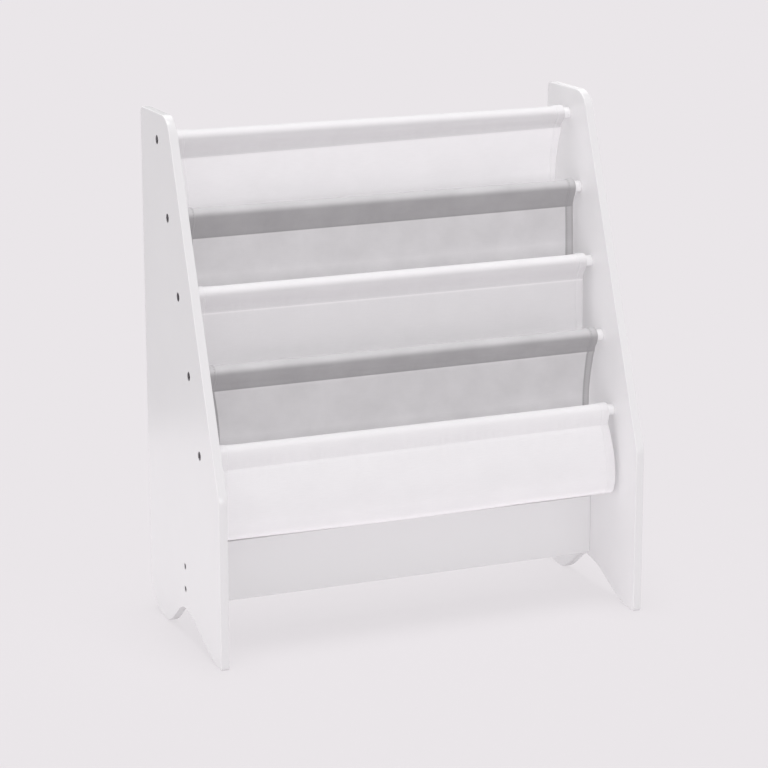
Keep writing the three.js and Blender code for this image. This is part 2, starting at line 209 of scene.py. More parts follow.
class ShelfStageSizes(bpy.types.PropertyGroup):
    """The camera and the lamps."""

    camera_place: FloatVectorProperty(
        name="Camera place", description="Where the camera stands", default=(-1.4006, -3.2685, 1.2243),
        size=3, subtype="TRANSLATION", unit="LENGTH")
    camera_turn: angle("Camera turn", "Turn of the view to the right of straight back", 22.939)
    camera_dip: angle("Camera dip", "How far the view looks down", 14.221)
    camera_roll: angle("Camera roll", "Turn of the picture about the view", -0.083)
    lens: FloatProperty(
        name="Lens", description="Focal length in millimetres", default=125.5, unit="CAMERA")
    sensor: FloatProperty(
        name="Sensor", description="Sensor width in millimetres", default=36.0, unit="CAMERA")
    sky: share("Sky", "Strength of the even light from all round", 0.60)
    top_light: share("Top light", "Strength of the lamp above", 1.70)
    left_light: share("Left light", "Strength of the fill lamp on the left", 0.71)
    front_light: share("Front light", "Strength of the fill lamp in front", 0.87)
    lamp_spread: angle("Lamp spread", "How wide each lamp looks from the shelf", 26)
    card_place: length("Card place", "How far behind the shelf the dark card stands", 1.12)
    card_turn: angle("Card turn", "How far the card's left side is turned towards the shelf", 6.5)
    card_width: length("Card width", "Width of the dark card", 3.4)
    card_height: length("Card height", "Height of the dark card", 1.4)
    card_left: share("Card left", "How much of the card's width stands left of the middle", 0.75)
    floor_size: length("Floor size", "Side of the floor", 60.0)
    floor_glow: share("Floor glow", "How much of the floor's look the shadow leaves alone", 0.83)


SETTINGS = {
    "shelf_panel": ShelfPanelSizes,
    "shelf_screw": ShelfScrewSizes,
    "shelf_cloth": ShelfClothSizes,
    "shelf_colour": ShelfColours,
    "shelf_stage": ShelfStageSizes,
}


# Shapes

# The angles past which an edge of the boards and rods, and of the screws, is sharp.
BOARD_CREASE, STEEL_CREASE = math.radians(35), math.radians(30)
# The kind of triangulation that leaves out what lies outside an outline, and how close two of its
# points may come.
INSIDE, POINT_GAP = 1, 1e-9
# The greatest angle between two points of a round corner.
GREATEST_TURN = 0.15


def spread(low, high, step):
    """Evenly spaced numbers from low to high, about one step apart."""
    return np.linspace(low, high, max(2, int(round(abs(high - low) / step)) + 1))


def eased(low, high, value):
    """An s-curve from 0 below low to 1 above high."""
    t = np.clip((value - low) / (high - low), 0.0, 1.0)
    return t * t * (3.0 - 2.0 * t)


def run_length(run):
    """The length of a line of points up to each of them."""
    return np.concatenate([[0.0], np.cumsum(np.linalg.norm(np.diff(run, axis=0), axis=1))])


def points_along(run, shares):
    """The points that lie at these shares of a line's length."""
    along = run_length(run)
    return np.stack([np.interp(shares * along[-1], along, run[:, axis]) for axis in (0, 1)], axis=-1)


def smooth_noise(u, v, seed):
    """Noise from -1 to 1: random heights on a unit lattice, joined both ways by s-curves."""
    size = 64
    lattice = np.random.default_rng(seed).uniform(-1.0, 1.0, (size, size))
    iu, iv = np.floor(u).astype(int), np.floor(v).astype(int)
    fu, fv = eased(0.0, 1.0, u - iu), eased(0.0, 1.0, v - iv)
    near = lattice[iu % size, iv % size] * (1 - fu) + lattice[(iu + 1) % size, iv % size] * fu
    far = lattice[iu % size, (iv + 1) % size] * (1 - fu) + lattice[(iu + 1) % size, (iv + 1) % size] * fu
    return near * (1 - fv) + far * fv


def grid_faces(rows, columns, first=0, close_columns=False):
    """The four-cornered faces of a grid of points numbered row by row from first."""
    here = np.arange(rows - 1)[:, None] * columns
    c = np.arange(columns if close_columns else columns - 1)[None, :]
    below, beside = here + columns, (c + 1) % columns
    corners = [here + c, here + beside, below + beside, below + c]
    return first + np.stack(np.broadcast_arrays(*corners), axis=-1).reshape(-1, 4)


def outward(points, faces):
    """The faces turned so that the closed surface encloses a positive volume."""
    volume = 0.0
    for group in faces:
        corner = points[group]
        fans = np.cross(corner[:, 1:-1], corner[:, 2:])
        volume += np.einsum("ij,ikj->", corner[:, 0], fans)
    return [group[:, ::-1] for group in faces] if volume < 0 else faces


def build_piece(name, points, faces, material, crease=None, flat_group=None):
    """Puts whole arrays of points and faces into a new object at the origin.

    faces is a list of arrays with one row of corners for each face. flat_group is the number of
    the array whose faces are flat, and crease the angle past which an edge is sharp.
    """
    faces = outward(points, faces)
    corners = np.concatenate([group.ravel() for group in faces]).astype(np.int32)
    counts = np.concatenate([np.full(len(group), group.shape[1]) for group in faces])
    starts = np.concatenate([[0], np.cumsum(counts)[:-1]]).astype(np.int32)
    mesh = bpy.data.meshes.new(name)
    mesh.vertices.add(len(points))
    mesh.vertices.foreach_set("co", points.astype(np.float32).ravel())
    mesh.loops.add(len(corners))
    mesh.loops.foreach_set("vertex_index", corners)
    mesh.polygons.add(len(starts))
    mesh.polygons.foreach_set("loop_start", starts)
    mesh.update(calc_edges=True)
    smooth = np.ones(len(starts), dtype=bool)
    if flat_group is not None:
        before = sum(len(group) for group in faces[:flat_group])
        smooth[before:before + len(faces[flat_group])] = False
    if crease is not None:
        mesh.set_sharp_from_angle(angle=crease)
    mesh.polygons.foreach_set("use_smooth", smooth)
    mesh.materials.append(material)
    piece = bpy.data.objects.new(name, mesh)
    bpy.context.scene.collection.objects.link(piece)
    return piece


def place_on_shelf(piece, slot, *nodes):
    """The piece rides on the shelf and stands for the nodes, whose packed parts are hidden. slot is not
    used.
    """
    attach(piece, ROOT)
    if nodes:
        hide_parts(*nodes)


def set_attribute(piece, name, values):
    """Gives each point of the piece a number that its material reads."""
    layer = piece.data.attributes.new(name, "FLOAT", "POINT")
    layer.data.foreach_set("value", values.astype(np.float32).ravel())


def full_turn(sides):
    """Evenly spaced angles round a whole turn."""
    return np.linspace(0.0, 2 * math.pi, sides, endpoint=False)


def on_circle(turn):
    """The points of the unit circle at these angles."""
    return np.stack([np.cos(turn), np.sin(turn)], axis=-1)


def turned_surface(depths, radii, sides, flats=None):
    """A surface turned about the X axis: ring k stands at depths[k] with radius radii[k].

    Where flats[k] is 1 the ring is a hexagon whose half width is the radius, and where it is 0 it
    is round. The points are numbered ring by ring.
    """
    turn = full_turn(sides)
    sector = math.pi / 3
    hexagon = 1.0 / np.cos((turn + sector / 2) % sector - sector / 2)
    mix = np.zeros(len(depths)) if flats is None else np.asarray(flats, float)
    reach = 1.0 + mix[:, None] * (hexagon[None, :] - 1.0)
    ring = np.asarray(radii, float)[:, None] * reach
    x = np.broadcast_to(np.asarray(depths, float)[:, None], ring.shape)
    return np.stack([x, ring * np.cos(turn), ring * np.sin(turn)], axis=-1)


# Places that follow from the packed nodes

def outer_x(side):
    """X of a panel's outside face."""
    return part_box("side_panel_left")[0].x if side < 0 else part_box("side_panel_right")[1].x


def moved_to_face(points, side, y, z):
    """Points made at X = 0 and pointing along +X, set on the outside face of a panel."""
    return points * np.array([-side, 1.0, 1.0]) + np.array([outer_x(side), y, z])


def axis_of(node):
    """Y and Z of the axis of a node that runs along X."""
    low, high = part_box(node)
    return (low.y + high.y) / 2, (low.z + high.z) / 2


def rod_axes():
    """Y and Z of each rod's axis, from the top rod down."""
    return np.array([axis_of(f"rod_{number}") for number in RODS])


def board_screw_axes():
    """Y and Z of the two screws into each end of the stretcher."""
    return np.array([axis_of(f"stretcher_screw_left_{number}") for number in (1, 2)])


def rod_radius():
    """Half the rods' thickness."""
    low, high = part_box("rod_1")
    return (high.z - low.z) / 2


def inner_x():
    """The distance of the panels' inner faces from the middle."""
    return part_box("side_panel_right")[0].x


# Materials

# How often the noises repeat in a metre: the paint's clouds, ripple and orange peel, the canvas's
# clouds, its slubs along and across the yarn, the thread's twist and the steel's wear.
PAINT_CLOUD, PAINT_RIPPLE, PAINT_PEEL = 9.0, 120.0, 900.0
CLOTH_CLOUD, CLOTH_SLUB = 20.0, (60.0, 900.0, 1.0)
THREAD_TWIST, STEEL_WEAR = 2500.0, 700.0
# How dark and how light these make the colour, as factors. The weave's range darkens its hollows as
# painted shade.
PAINT_TONES, SLUB_TONES, WEAVE_SHADE = (0.985, 1.012), (0.97, 1.03), (0.95, 1.02)
THREAD_TONES, STEEL_TONES = (0.9, 1.08), (0.75, 1.3)
# How rough each finish is. The paint's two numbers are added to the roughness that the user sets.
PAINT_GLOSS, STEEL_ROUGHNESS = (-0.04, 0.05), (0.3, 0.5)
CLOTH_ROUGHNESS, THREAD_ROUGHNESS = 0.85, 0.55
# How strong each bump is, and how high in metres.
PAINT_BUMP, CLOTH_BUMP = (0.12, 0.0002), (0.35, 0.0002)
THREAD_BUMP, STEEL_BUMP = (0.4, 0.0001), (0.15, 0.0001)
# The height of the paint's ripple for that of its peel, and of the slubs for that of the weave.
RIPPLE_PART, SLUB_PART = 0.5, 0.4
# The numbers of the mix node's two colours and of the colour that it gives.
FIRST_COLOUR, SECOND_COLOUR, MIXED_COLOUR = 6, 7, 2


class Finish:
    """A material or a world under construction: adds nodes and joins them to what feeds them."""

    def __init__(self, name, kind="Material"):
        self.owner = (bpy.data.worlds if kind == "World" else bpy.data.materials).new(name)
        self.owner.use_nodes = True
        self.tree = self.owner.node_tree
        self.tree.nodes.clear()
        self.output = self.add(f"ShaderNodeOutput{kind}")

    def add(self, kind, inputs=None, **settings):
        """A node with these settings, whose inputs are numbers, colours or other nodes' sockets."""
        node = self.tree.nodes.new(kind)
        for name, value in settings.items():
            setattr(node, name, value)
        for name, value in (inputs or {}).items():
            if isinstance(value, bpy.types.NodeSocket):
                self.tree.links.new(value, node.inputs[name])
            else:
                node.inputs[name].default_value = value
        return node

    def maths(self, operation, first, second=0.0, third=0.0):
        """The result of one sum."""
        return self.add("ShaderNodeMath", {0: first, 1: second, 2: third}, operation=operation).outputs[0]

    def blend(self, share_socket, first, second, kind="MIX"):
        """A colour between two others."""
        inputs = {"Factor": share_socket, FIRST_COLOUR: first, SECOND_COLOUR: second}
        mix = self.add("ShaderNodeMix", inputs, data_type="RGBA", blend_type=kind)
        return mix.outputs[MIXED_COLOUR]

    def varied(self, share_socket, rgb, tones):
        """A colour that wanders between a darker and a lighter tone of itself."""
        return self.blend(share_socket, shade(rgb, tones[0]), shade(rgb, tones[1]))

    def noise(self, place, scale, detail=2.0, roughness=0.5):
        """A soft noise from 0 to 1 that reads the given coordinates."""
        inputs = {"Vector": place, "Scale": scale, "Detail": detail, "Roughness": roughness}
        return self.add("ShaderNodeTexNoise", inputs).outputs[0]

    def ranged(self, value, low, high):
        """A number from 0 to 1 spread from low to high."""
        return self.add("ShaderNodeMapRange", {"Value": value, "To Min": low, "To Max": high}).outputs[0]

    def stretched(self, vector, factors):
        """A vector multiplied along each axis."""
        return self.add("ShaderNodeVectorMath", {0: vector, 1: factors}, operation="MULTIPLY").outputs[0]

    def place(self):
        """Where a point lies on the shelf, in metres."""
        return self.add("ShaderNodeTexCoord").outputs["Object"]

    def attribute(self, name):
        """A number that the piece's points carry."""
        return self.add("ShaderNodeAttribute", attribute_name=name).outputs["Fac"]

    def bump(self, height, strength, distance):
        """A normal that leans as a height says."""
        inputs = {"Height": height, "Strength": strength, "Distance": distance}
        return self.add("ShaderNodeBump", inputs).outputs[0]

    def with_painted_light(self, colour_socket, tone=None):
        """A colour multiplied by the tone attribute's painted light and shade, and by another number if
        given.
        """
        value = self.attribute("tone")
        if tone is not None:
            value = self.maths("MULTIPLY", tone, value)
        grey = self.add("ShaderNodeCombineColor", {0: value, 1: value, 2: value}).outputs[0]
        return self.blend(1.0, colour_socket, grey, "MULTIPLY")

    def seen(self):
        """1 for camera, glossy and transmission rays, and 0 for the light on the shelf."""
        path = self.add("ShaderNodeLightPath").outputs
        mirrored = self.maths("MAXIMUM", path["Is Camera Ray"], path["Is Glossy Ray"])
        return self.maths("MAXIMUM", mirrored, path["Is Transmission Ray"])

    def cover(self, shader):
        """Joins a shader to the surface and returns the finished material or world."""
        self.tree.links.new(shader.outputs[0], self.output.inputs["Surface"])
        return self.owner

    def surface(self, inputs):
        """A principled surface."""
        return self.cover(self.add("ShaderNodeBsdfPrincipled", inputs))


def opaque(rgb):
    """A colour with full alpha."""
    return (*rgb, 1.0)


def shade(rgb, factor):
    """A colour made darker or lighter by a factor."""
    return opaque([min(1.0, channel * factor) for channel in rgb])


def paint_finish(name, rgb, roughness, with_painted_light=False):
    """Sprayed satin paint: a fine orange-peel skin, faint cloudiness and a little uneven gloss.

    Where the last argument is set, the tone attribute paints light into the colour: painted shade on
    the sloping and upright edges and a painted highlight on the top edge.
    """
    finish = Finish(name)
    place = finish.place()
    cloud = finish.noise(place, PAINT_CLOUD, detail=3.0)
    peel = finish.noise(place, PAINT_PEEL, detail=2.0)
    ripple = finish.noise(place, PAINT_RIPPLE, detail=1.0)
    height = finish.maths("MULTIPLY_ADD", ripple, RIPPLE_PART, peel)
    base = finish.varied(cloud, rgb, PAINT_TONES)
    if with_painted_light:
        base = finish.with_painted_light(base)
    return finish.surface({
        "Base Color": base,
        "Roughness": finish.ranged(cloud, roughness + PAINT_GLOSS[0], roughness + PAINT_GLOSS[1]),
        "Normal": finish.bump(height, *PAINT_BUMP),
    })


def cloth_finish(name, single, doubled_shade, clouds, sizes):
    """Plain-weave canvas on the cloth's own map, darker as painted shade where the layers attribute says
    double and no light comes through.

    At each crossing a checker says which yarn lies on top. The yarn's height is the rise of a half
    wave across its width, and the hollows of the weave are darker as painted shade. Slubs make some
    yarns thicker and the colour slightly uneven, and clouds is how far the tone wanders over the cloth.
    """
    finish = Finish(name)
    cloth_map = finish.add("ShaderNodeUVMap", uv_map="cloth").outputs[0]
    per_metre = 1.0 / sizes.yarn
    scaled = finish.stretched(cloth_map, (per_metre,) * 3)
    split = finish.add("ShaderNodeSeparateXYZ", {0: scaled})
    over = finish.add("ShaderNodeTexChecker", {
        "Vector": scaled, "Scale": 1.0, "Color1": (1, 1, 1, 1), "Color2": (0, 0, 0, 1)})
    crown = []
    for axis in ("X", "Y"):
        turn = finish.maths("MULTIPLY", split.outputs[axis], math.pi)
        crown.append(finish.maths("ABSOLUTE", finish.maths("SINE", turn)))
    warp = finish.maths("MULTIPLY", crown[0], over.outputs["Fac"])
    rest = finish.maths("SUBTRACT", 1.0, over.outputs["Fac"])
    weave = finish.maths("MULTIPLY_ADD", crown[1], rest, warp)
    slub = finish.noise(finish.stretched(cloth_map, CLOTH_SLUB), 1.0, detail=2.0)
    cloud = finish.noise(cloth_map, CLOTH_CLOUD, detail=3.0, roughness=0.55)
    # The layers attribute blends in the doubled colour's painted shade.
    base = finish.blend(finish.attribute("layers"), opaque(single), opaque(doubled_shade))
    clouded = finish.ranged(cloud, 1 - clouds, 1 + clouds)
    tone = finish.maths("MULTIPLY", clouded, finish.ranged(slub, *SLUB_TONES))
    # Painted shade in the hollows of the weave.
    tone = finish.maths("MULTIPLY", tone, finish.ranged(weave, *WEAVE_SHADE))
    base = finish.with_painted_light(base, tone)
    height = finish.maths("MULTIPLY_ADD", slub, SLUB_PART, weave)
    return finish.surface({
        "Base Color": base,
        "Roughness": CLOTH_ROUGHNESS,
        "Sheen Weight": 0.25,
        "Sheen Roughness": 0.5,
        "Normal": finish.bump(height, *CLOTH_BUMP),
    })


def thread_finish(name, rgb):
    """Twisted polyester thread: slightly glossy, with a fine uneven tone."""
    finish = Finish(name)
    twist = finish.noise(finish.place(), THREAD_TWIST, detail=1.0)
    return finish.surface({
        "Base Color": finish.varied(twist, rgb, THREAD_TONES),
        "Roughness": THREAD_ROUGHNESS,
        "Normal": finish.bump(twist, *THREAD_BUMP),
    })


def steel_finish(name, rgb):
    """Dark zinc plate with fine cloudy wear."""
    finish = Finish(name)
    wear = finish.noise(finish.place(), STEEL_WEAR, detail=3.0)
    return finish.surface({
        "Base Color": finish.varied(wear, rgb, STEEL_TONES),
        "Metallic": 1.0,
        "Roughness": finish.ranged(wear, *STEEL_ROUGHNESS),
        "Normal": finish.bump(wear, *STEEL_BUMP),
    })


# The side panels

# How much an edge has to face up before it starts to take the top edge's painted highlight, and fully does.
LIT_FACING_UP = (0.8, 1.0)


def corner_arc(before, corner, after, radius, step):
    """The round corner between two straight lines: an arc that touches both."""
    to_before = (before - corner) / np.linalg.norm(before - corner)
    to_after = (after - corner) / np.linalg.norm(after - corner)
    half = math.acos(float(to_before @ to_after)) / 2
    middle = to_before + to_after
    centre = corner + middle / np.linalg.norm(middle) * radius / math.sin(half)
    start = corner + to_before * radius / math.tan(half) - centre
    end = corner + to_after * radius / math.tan(half) - centre
    sweep = math.atan2(start[0] * end[1] - start[1] * end[0], float(start @ end))
    turn = math.atan2(start[1], start[0]) + spread(0.0, sweep, min(step / radius, GREATEST_TURN))
    return centre + radius * on_circle(turn)


def half_wave(start, end, step):
    """Half a cosine wave between two points, level at both ends."""
    across = spread(0.0, 1.0, step / abs(end[0] - start[0]))
    rise = (1.0 - np.cos(math.pi * across)) / 2
    return start + (end - start) * np.stack([across, rise], axis=-1)


def even_loop(points, step):
    """A closed outline with its points evenly spaced along it."""
    closed = np.concatenate([points, points[:1]])
    count = int(round(run_length(closed)[-1] / step))
    return points_along(closed, np.linspace(0.0, 1.0, count, endpoint=False))


def panel_outline(sizes):
    """The panel's outline in Y and Z, from the front foot round by the wave, the heel and the top."""
    low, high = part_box("side_panel_left")
    front, rear, top = low.y, high.y, high.z
    step = sizes.outline_step
    toe = np.array([front, 0.0])
    front_heel = np.array([front + sizes.front_foot, 0.0])
    rear_low = np.array([rear, 0.0])
    rear_heel = np.array([rear - sizes.heel - sizes.rear_foot, 0.0])
    crest = np.array([rear_heel[0] - sizes.wave_rear_run, sizes.wave_rise])
    rear_top = np.array([rear, top])
    slope_top = np.array([rear - sizes.top_depth, top])
    slope_low = np.array([front, sizes.front_height])
    pieces = [
        corner_arc(slope_low, toe, front_heel, sizes.toe, step),
        half_wave(front_heel, crest, step),
        half_wave(crest, rear_heel, step),
        corner_arc(rear_heel, rear_low, rear_top, sizes.heel, step),
        corner_arc(rear_low, rear_top, slope_top, sizes.rear_corner, step),
        corner_arc(rear_top, slope_top, slope_low, sizes.top_corner, step),
        corner_arc(slope_top, slope_low, toe, sizes.front_corner, step),
    ]
    return even_loop(np.concatenate(pieces), step)


def inward_normals(loop):
    """Unit vectors in the plane that point into an outline drawn anticlockwise."""
    along = np.roll(loop, -1, axis=0) - np.roll(loop, 1, axis=0)
    along /= np.linalg.norm(along, axis=1, keepdims=True)
    return np.stack([-along[:, 1], along[:, 0]], axis=-1)


def set_in(loop, inset):
    """The rows of a rim: an outline set in by each of these distances."""
    return loop[None] + inward_normals(loop)[None] * inset[:, None, None]


def rounded_rim(thickness, rounding, steps):
    """Across a board's edge from face to face: how deep each row lies and how far it is set in.

    Each edge is a quarter circle, with one more row on the flat face beside it.
    """
    turn = np.linspace(0.0, math.pi / 2, steps + 1)
    ledge = rounding / 3
    inset = np.concatenate([[rounding + ledge], rounding * (1 - np.sin(turn))])
    depth = np.concatenate([[0.0], rounding * (1 - np.cos(turn))])
    return np.concatenate([depth, thickness - depth[::-1]]), np.concatenate([inset, inset[::-1]])


def flat_cap(loop, holes):
    """The triangles of a flat face between an outline and round holes.

    loop is its outline and holes a list of rings of points. The corners are numbered through the
    outline and then each hole. The triangulation leaves out what is outside, and a triangle with
    all its corners on one round hole lies in that hole and is dropped.
    """
    rings = [loop, *holes]
    points = np.concatenate(rings)
    edges, first = [], 0
    for ring in rings:
        here = first + np.arange(len(ring))
        edges.append(np.stack([here, np.roll(here, -1)], axis=-1))
        first += len(ring)
    result = delaunay_2d_cdt(points.tolist(), np.concatenate(edges).tolist(), [], INSIDE, POINT_GAP)
    if len(result[0]) != len(points):
        raise RuntimeError("the outline of a panel crosses itself or one of its holes")
    triangles = np.array(result[2])
    owner = np.repeat(np.arange(len(rings)), [len(ring) for ring in rings])[triangles]
    in_hole = (owner[:, 0] > 0) & (owner == owner[:, :1]).all(axis=1)
    return triangles[~in_hole]


def screw_shape(sizes, kind):
    """A screw's radii at its head and shank, its depths at its face, rim and neck, and its socket."""
    names = ("head", "shank", "sink", "rim", "taper", "socket")
    head, shank, sink, rim, taper, socket = (getattr(sizes, f"{kind}_{name}") for name in names)
    return head / 2, shank / 2, sink, sink + rim, sink + rim + taper, socket / 2


def hole_profile(sizes, kind, thickness):
    """Depth and radius of a screw's hole from the outside face of the panel to the inside face."""
    head, shank, _, rim, neck, _ = screw_shape(sizes, kind)
    gap, edge = sizes.hole_gap, sizes.head_break
    depths = np.array([0.0, edge / 3, edge, rim + gap, neck + gap, thickness])
    return depths, gap + np.array([head + edge, head + edge / 3, head, head, shank, shank])


def panel_points(side, sizes, screws):
    """A panel: a rim carried round the outline, the two flat faces and the walls of the holes."""
    low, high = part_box("side_panel_left")
    thickness = high.x - low.x
    loop = panel_outline(sizes)
    depth, inset = rounded_rim(thickness, sizes.edge_rounding, sizes.rounding_steps)
    ring = set_in(loop, inset)
    rim = np.concatenate([np.broadcast_to(depth[:, None, None], (*ring.shape[:2], 1)), ring], axis=-1)
    places = [("rod", *axis) for axis in rod_axes()] + [("board", *axis) for axis in board_screw_axes()]
    walls = []
    for kind, y, z in places:
        wall = turned_surface(*hole_profile(screws, kind, thickness), screws.sides)
        walls.append(wall + np.array([0.0, y, z]))
    points = np.concatenate([rim.reshape(-1, 3)] + [wall.reshape(-1, 3) for wall in walls])
    tones = edge_painted_light(sizes, loop, depth, inset, len(points))
    rows, columns = rim.shape[:2]
    faces = [grid_faces(rows, columns, close_columns=True)]
    outside, inside = [np.arange(columns)], [(rows - 1) * columns + np.arange(columns)]
    first = rows * columns
    for wall in walls:
        wall_rows, sides = wall.shape[:2]
        faces.append(grid_faces(wall_rows, sides, first, close_columns=True)[:, ::-1])
        outside.append(first + np.arange(sides))
        inside.append(first + (wall_rows - 1) * sides + np.arange(sides))
        first += wall_rows * sides
    caps = []
    for rings, step in ((outside, -1), (inside, 1)):
        triangles = flat_cap(points[rings[0], 1:], [points[ring, 1:] for ring in rings[1:]])
        caps.append(np.concatenate(rings)[triangles][:, ::step])
    faces.append(np.concatenate(caps))
    return moved_to_face(points, side, 0.0, 0.0), faces, tones


def edge_painted_light(sizes, loop, depth, inset, count):
    """How light the paint of each point is: 1 on the faces and holes, and other on the cut edges.

    The sloping and upright edges are darker as painted shade, and the level top edge, which faces the
    lamp above, is lighter as a painted highlight.
    """
    up = -inward_normals(loop)[:, 1]
    level = eased(*LIT_FACING_UP, up)
    along = sizes.front_edge_shade + (sizes.top_edge_highlight - sizes.front_edge_shade) * level
    on_edge = 1 - np.clip(inset / (sizes.edge_rounding / 2), 0.0, 1.0)
    tones = np.ones(count)
    tones[:len(depth) * len(loop)] = (1 + on_edge[:, None] * (along[None] - 1)).ravel()
    return tones


def build_panel(side_name, sizes, screws, material):
    """One side panel with its countersunk holes."""
    points, faces, tones = panel_points(SIDES[side_name], sizes, screws)
    piece = build_piece(f"panel_{side_name}", points, faces, material, BOARD_CREASE, len(faces) - 1)
    # The tone attribute paints shade on the sloping edges and a highlight on the top edge.
    set_attribute(piece, "tone", tones)
    place_on_shelf(piece, "white_paint", f"side_panel_{side_name}")
    return piece


# The stretcher, the rods and the screws

def closed_rings(ring):
    """The points and faces of a row of rings whose first and last are closed by flat ends."""
    rows, sides = ring.shape[:2]
    near = np.arange(sides)[None, :]
    faces = [grid_faces(rows, sides, close_columns=True), near[:, ::-1], near + (rows - 1) * sides]
    return ring.reshape(-1, 3), faces


def build_stretcher(sizes, material):
    """The low board: a rim carried round a rectangle with rounded corners, and two flat faces."""
    low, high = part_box("stretcher")
    corner = sizes.edge_rounding
    ends = np.array([[low.x, low.z], [high.x, low.z], [high.x, high.z], [low.x, high.z]])
    arcs = [corner_arc(ends[k - 1], ends[k], ends[(k + 1) % 4], corner, corner / 4) for k in range(4)]
    loop = np.concatenate(arcs)
    depth, inset = rounded_rim(high.y - low.y, sizes.edge_rounding * 0.7, sizes.rounding_steps)
    ring = set_in(loop, inset)
    y = np.broadcast_to(low.y + depth[:, None], ring.shape[:2])
    points, faces = closed_rings(np.stack([ring[..., 0], y, ring[..., 1]], axis=-1))
    piece = build_piece("stretcher_board", points, faces, material, BOARD_CREASE)
    place_on_shelf(piece, "white_paint", "stretcher")
    return piece


def build_rod(number, screws, material):
    """A rod with softened ends and a blind bore in each end, turned about its own axis."""
    radius, end = rod_radius(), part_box(f"rod_{number}")[1].x
    chamfer = radius / 10
    bore = screws.rod_shank / 2 + screws.hole_gap
    bore_end = end - 4 * radius
    half_depths = np.array([bore_end, bore_end, end, end, end - chamfer / 3, end - chamfer])
    half_radii = np.array([bore / 8, bore, bore, radius - chamfer, radius - chamfer / 3, radius])
    depths = np.concatenate([-half_depths, half_depths[::-1]])
    radii = np.concatenate([half_radii, half_radii[::-1]])
    ring = turned_surface(depths, radii, screws.rod_sides)
    y, z = rod_axes()[number - 1]
    points, faces = closed_rings(ring + np.array([0.0, y, z]))
    piece = build_piece(f"round_rod_{number}", points, faces, material, BOARD_CREASE)
    place_on_shelf(piece, "rod_paint", f"rod_{number}")
    return piece


def screw_rings(sizes, kind, length_in):
    """A countersunk screw with a hexagonal socket, from the bottom of the socket out to the tip."""
    head, shank, sink, rim, neck, socket = screw_shape(sizes, kind)
    edge = sizes.head_break
    floor = sink + sizes.socket_depth
    profile = [
        (floor + edge, socket / 10, 1), (floor, socket * 0.9, 1), (floor - edge, socket, 1),
        (sink + edge, socket, 1), (sink, socket + edge, 1), (sink, head - edge, 0),
        (sink + edge / 3, head - edge / 3, 0), (sink + edge, head, 0), (rim, head, 0),
        (neck, shank, 0), (length_in - 2 * shank, shank, 0), (length_in, shank / 10, 0),
    ]
    depths, radii, flats = np.array(profile).T
    return turned_surface(depths, radii, sizes.sides, flats)


def build_screw(node, kind, side_name, sizes, material):
    """One screw, in the place of its packed node."""
    low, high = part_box(node)
    side = SIDES[side_name]
    length_in = max(abs(low.x - outer_x(side)), abs(high.x - outer_x(side)))
    points, faces = closed_rings(moved_to_face(screw_rings(sizes, kind, length_in), side, *axis_of(node)))
    piece = build_piece(f"{node}_steel", points, faces, material, STEEL_CREASE)
    place_on_shelf(piece, "screw_steel", node)
    return piece


# The slings

# For each sling, from the top rod down. SEAM_DROPS: from the rod's axis down to the top of the seam
# at the left and the right end. SEAM_DRAW and WALL_DRAW: how far the side edges draw in at the seam
# and below it. SLEEVE_SHADE: how much painted shade for lying double the cloth of a sleeve takes below
# its rod and on it, where less is painted light from above. WALL_PAINTED_LIGHT: the painted light on
# the front face of a wall's cloth just below its seam and further down, and how far down that is.
SEAM_DROPS = [(0.0250, 0.0170), (0.0283, 0.0245), (0.0225, 0.0225), (0.0215, 0.0195), (0.0175, 0.0145)]
SEAM_DRAW = [0.001, -0.0005, 0.001, -0.0005, 0.0015]
WALL_DRAW = [0.010, -0.0015, 0.001, 0.008, -0.0055]
# How much painted shade each sleeve takes below its rod and on it; less on top is painted light.
SLEEVE_SHADE = [(1.0, 0.2), (1.0, 0.3), (1.0, 0.2), (1.0, 0.3), (0.38, 0.38)]
# Painted light and shade on the walls: above 1 lighter, below 1 darker, and lighter further down against the
# shade deep in each pocket.
WALL_PAINTED_LIGHT = [(1.055, 1.175, 0.060), (0.98, 1.16, 0.050), (0.865, 1.09, 0.070), (0.93, 1.13, 0.062),
              (0.95, 0.99, 0.075)]

# How many points a strip's line has down a wall, round its turn, up the sewn edge, along one side of
# a sleeve and over the rod, before its rows are spaced evenly. The curl up into the sewn edge has
# every eighth of the turn's.
WALL_POINTS, TURN_POINTS, EDGE_POINTS, SIDE_POINTS, OVER_POINTS = 160, 120, 20, 80, 200
CURL_STEP = 8
# How many columns of points each folded side edge has, and what share of its thickness it keeps.
FOLD_COLUMNS, EDGE_KEEPS = 6, 0.02
# The length of the handles of a sleeve's curve, as a share of the way from the seam to the rod.
SLEEVE_HANDLE = 0.38
# Over how many thicknesses of cloth the roll below the front seam fades, and over how many it rises.
ROLL_FADE, ROLL_RISE = 12, 2
# The slack waves, as multiples of wave_width: how far apart the long ones are down a wall, and the
# short ones along the shelf and down the wall. LONG_PART is how much of the height the long ones have.
LONG_DOWN, SHORT_ALONG, SHORT_DOWN, LONG_PART = 1.4, 0.3, 0.4, 0.75
# Over how many widths of a pucker the waves set in and a pucker runs, and over how many it dies away.
PUCKER_RUN, PUCKER_FADE = 5, 1.5
# Over how many seam heights a sleeve's puff rises, and how many hem widths from its end it reaches.
PUFF_RISE, PUFF_REACH = 3, 3
# Where the noises are read at the middle of the shelf, and what the rear walls add to that and the
# short waves and the puckers to a sling's seed, so that each has a noise of its own.
NOISE_MIDDLE, NOISE_REAR, SHORT_SEED, PUCKER_SEED = 20, 31.0, 40, 80
# The powers by which the side edges draw in and by which a wall's painted light changes.
DRAW_POWER, PAINTED_LIGHT_POWER = 6, 5
